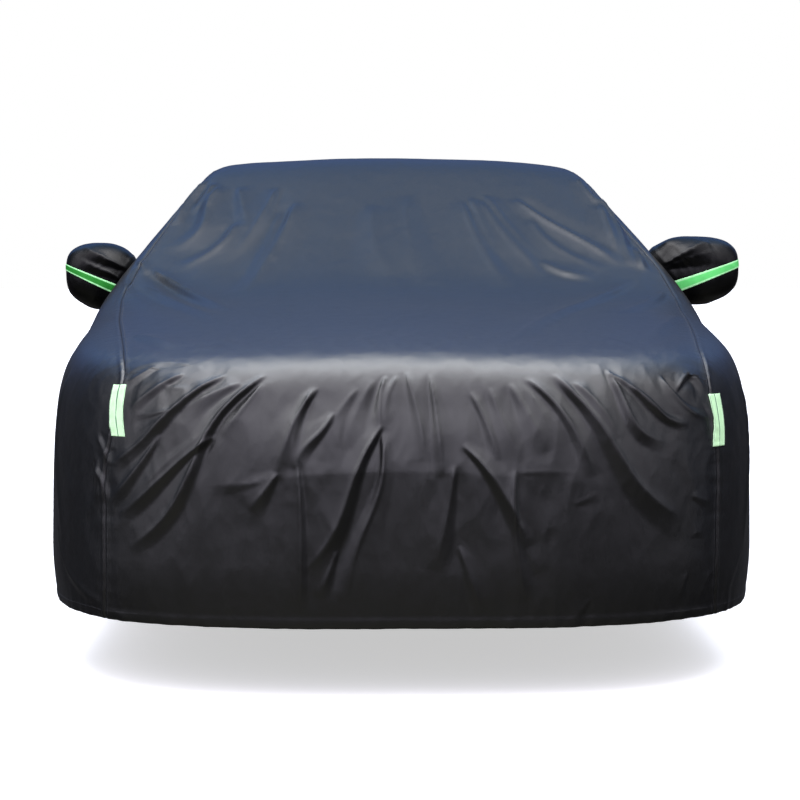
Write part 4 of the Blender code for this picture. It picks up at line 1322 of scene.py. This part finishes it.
def add_world():
    """A white backdrop for the camera, and a soft studio to light the cloth."""
    world = bpy.data.worlds.new("studio")
    bpy.context.scene.world = world
    world.use_nodes = True
    tree = world.node_tree
    tree.nodes.clear()
    where = add_node(tree, "TexCoord", {}).outputs["Generated"]
    x, y, z = add_node(tree, "SeparateXYZ", {0: where}).outputs
    angle = maths(tree, "ARCTAN2", z, times(tree, y, -1.0))
    behind = maths(tree, "LESS_THAN", angle, -math.pi / 2)
    angle = maths(tree, "ADD", angle, times(tree, behind, 2 * math.pi))
    low, high = math.radians(STUDIO[0][0]), math.radians(STUDIO[-1][0])
    shades = ramp(tree, scaled(tree, angle, low, high), STUDIO, STUDIO_MOST)
    aside = scaled(tree, x, -1, 1)
    sideways = ramp(tree, aside, FRONT_SIDEWAYS, SIDEWAYS_MOST)
    for stops, low, high in (
        (REAR_SIDEWAYS, FRONT_TO, REAR_FROM),
        (LOW_SIDEWAYS, REAR_TO, LOW_FROM),
    ):
        share = scaled(tree, y, low, high, kind="SMOOTHSTEP")
        other = ramp(tree, aside, stops, SIDEWAYS_MOST)
        mix = add_node(tree, "Mix", {0: share, 2: sideways, 3: other}, data_type="FLOAT")
        sideways = mix.outputs[0]
    strength = times(tree, sideways, STUDIO_MOST * SIDEWAYS_MOST)
    studio = add_node(tree, "Background", {"Color": shades, "Strength": strength})
    backdrop = add_node(tree, "Background", {"Color": WHITE})
    seen = add_node(tree, "LightPath", {}).outputs["Is Camera Ray"]
    shown = add_node(tree, "MixShader", {0: seen, 1: studio.outputs[0], 2: backdrop.outputs[0]})
    add_node(tree, "OutputWorld", {"Surface": shown.outputs[0]})


def add_floor():
    finish, _, shader = plain("floor", (FLOOR_GREY,) * 3, FLOOR_ROUGHNESS)
    fill(shader, {"Emission Color": WHITE, "Emission Strength": FLOOR_GLOW})
    corners = [(-1, -1), (1, -1), (1, 1), (-1, 1)]
    corners = [(x * FLOOR_HALF, y * FLOOR_HALF, 0) for x, y in corners]
    floor = add_mesh("floor", corners, [(0, 1, 2, 3)], finish)
    floor.location.z = -ROOF_UP
    floor.visible_glossy = False
    floor.visible_diffuse = False


# --- the cover ---

# What each piece is cut from: width and length, and the area of the cut
CENTRE_CUT, CENTRE_AREA = (1.67, 6.39), 9.25
SIDE_CUT, SIDE_AREA = (1.32, 4.90), 4.75
POCKET_CUT, POCKET_AREA = (0.62, 0.26), 0.145
FRONT_TAPE_WIDTH = 0.055
POCKET_TAPE_CUT = (0.026, 0.27)
# Its materials: colour, roughness, and the heights of the cloth's grain and crinkles
CLOTH_LOOK = ((0.006, 0.0062, 0.0066), 0.31, 0.00025, 0.0010)
# The pockets are of the same cloth as the rest, in a darker colour: painted shade.
SHADED_POCKET_LOOK = ((0.0022, 0.0023, 0.0025), 0.22, 0.0001, 0.0003)
THREAD_COLOUR = (0.035, 0.035, 0.040)
POCKET_GLEAM, FRONT_TAPE_GLEAM, POCKET_TAPE_GLEAM = 0.16, 0.2, 0.05


def stands_for(piece, node, slot, **sheet):
    """Hides the solid that a piece replaces. The piece, what it is made of and the sheet it was cut
    from are not used.
    """
    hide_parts(node)


def build():
    cloth = woven("cloth", *CLOTH_LOOK)
    # the pockets' cloth, darker than the rest: painted shade
    shaded_pocket_cloth = woven("shaded_pocket_cloth", *SHADED_POCKET_LOOK)
    fill(shaded_pocket_cloth.node_tree.nodes["Principled BSDF"], {"Specular IOR Level": POCKET_GLEAM})
    tape = reflective("front_tape", FRONT_TAPE_STOPS, FRONT_TAPE_GLEAM)
    thread = spun("thread", THREAD_COLOUR)
    stands_for(
        centre_piece(cloth), "centre_panel", "cover_cloth", flat=CENTRE_CUT, area=CENTRE_AREA,
        rests_on=["side_panel_left", "side_panel_right"],
    )
    for pocket, strip in zip(POCKETS, FRONT_STRIPS):
        name = pocket.name
        panel = side_piece(f"side_cloth_{name}", pocket.side, pocket, cloth)
        stands_for(
            panel, f"side_panel_{name}", "cover_cloth", flat=SIDE_CUT, area=SIDE_AREA,
            rests_on=["centre_cloth"],
        )
        bag = pocket_piece(pocket, shaded_pocket_cloth)
        stands_for(
            bag, f"mirror_pocket_{name}", "cover_cloth", flat=POCKET_CUT, area=POCKET_AREA,
            rests_on=[panel.name],
        )
        # each pocket's strip in its own green: painted shade on the left, painted light on the
        # right
        green = reflective(f"pocket_tape_{name}", POCKET_TAPE_STOPS[name], POCKET_TAPE_GLEAM)
        band = pocket_tape(pocket, bag, green)
        band.visible_glossy = False
        band.visible_diffuse = False
        stands_for(
            band, f"mirror_strip_{name}", "reflective_strip", flat=POCKET_TAPE_CUT,
            rests_on=[bag.name],
        )
        stands_for(
            front_tape(strip, tape), f"front_strip_{name}", "reflective_strip",
            flat=(FRONT_TAPE_WIDTH, 2 * strip.half_length), rests_on=[panel.name],
        )
        tape_stitches(strip, thread)
        seam_stitches(pocket, thread)
    hem_stitches(thread)


add_camera()
add_world()
add_floor()
for lamp in LAMPS:
    add_lamp(lamp)
build()

bpy.context.scene.view_settings.view_transform = "Standard"
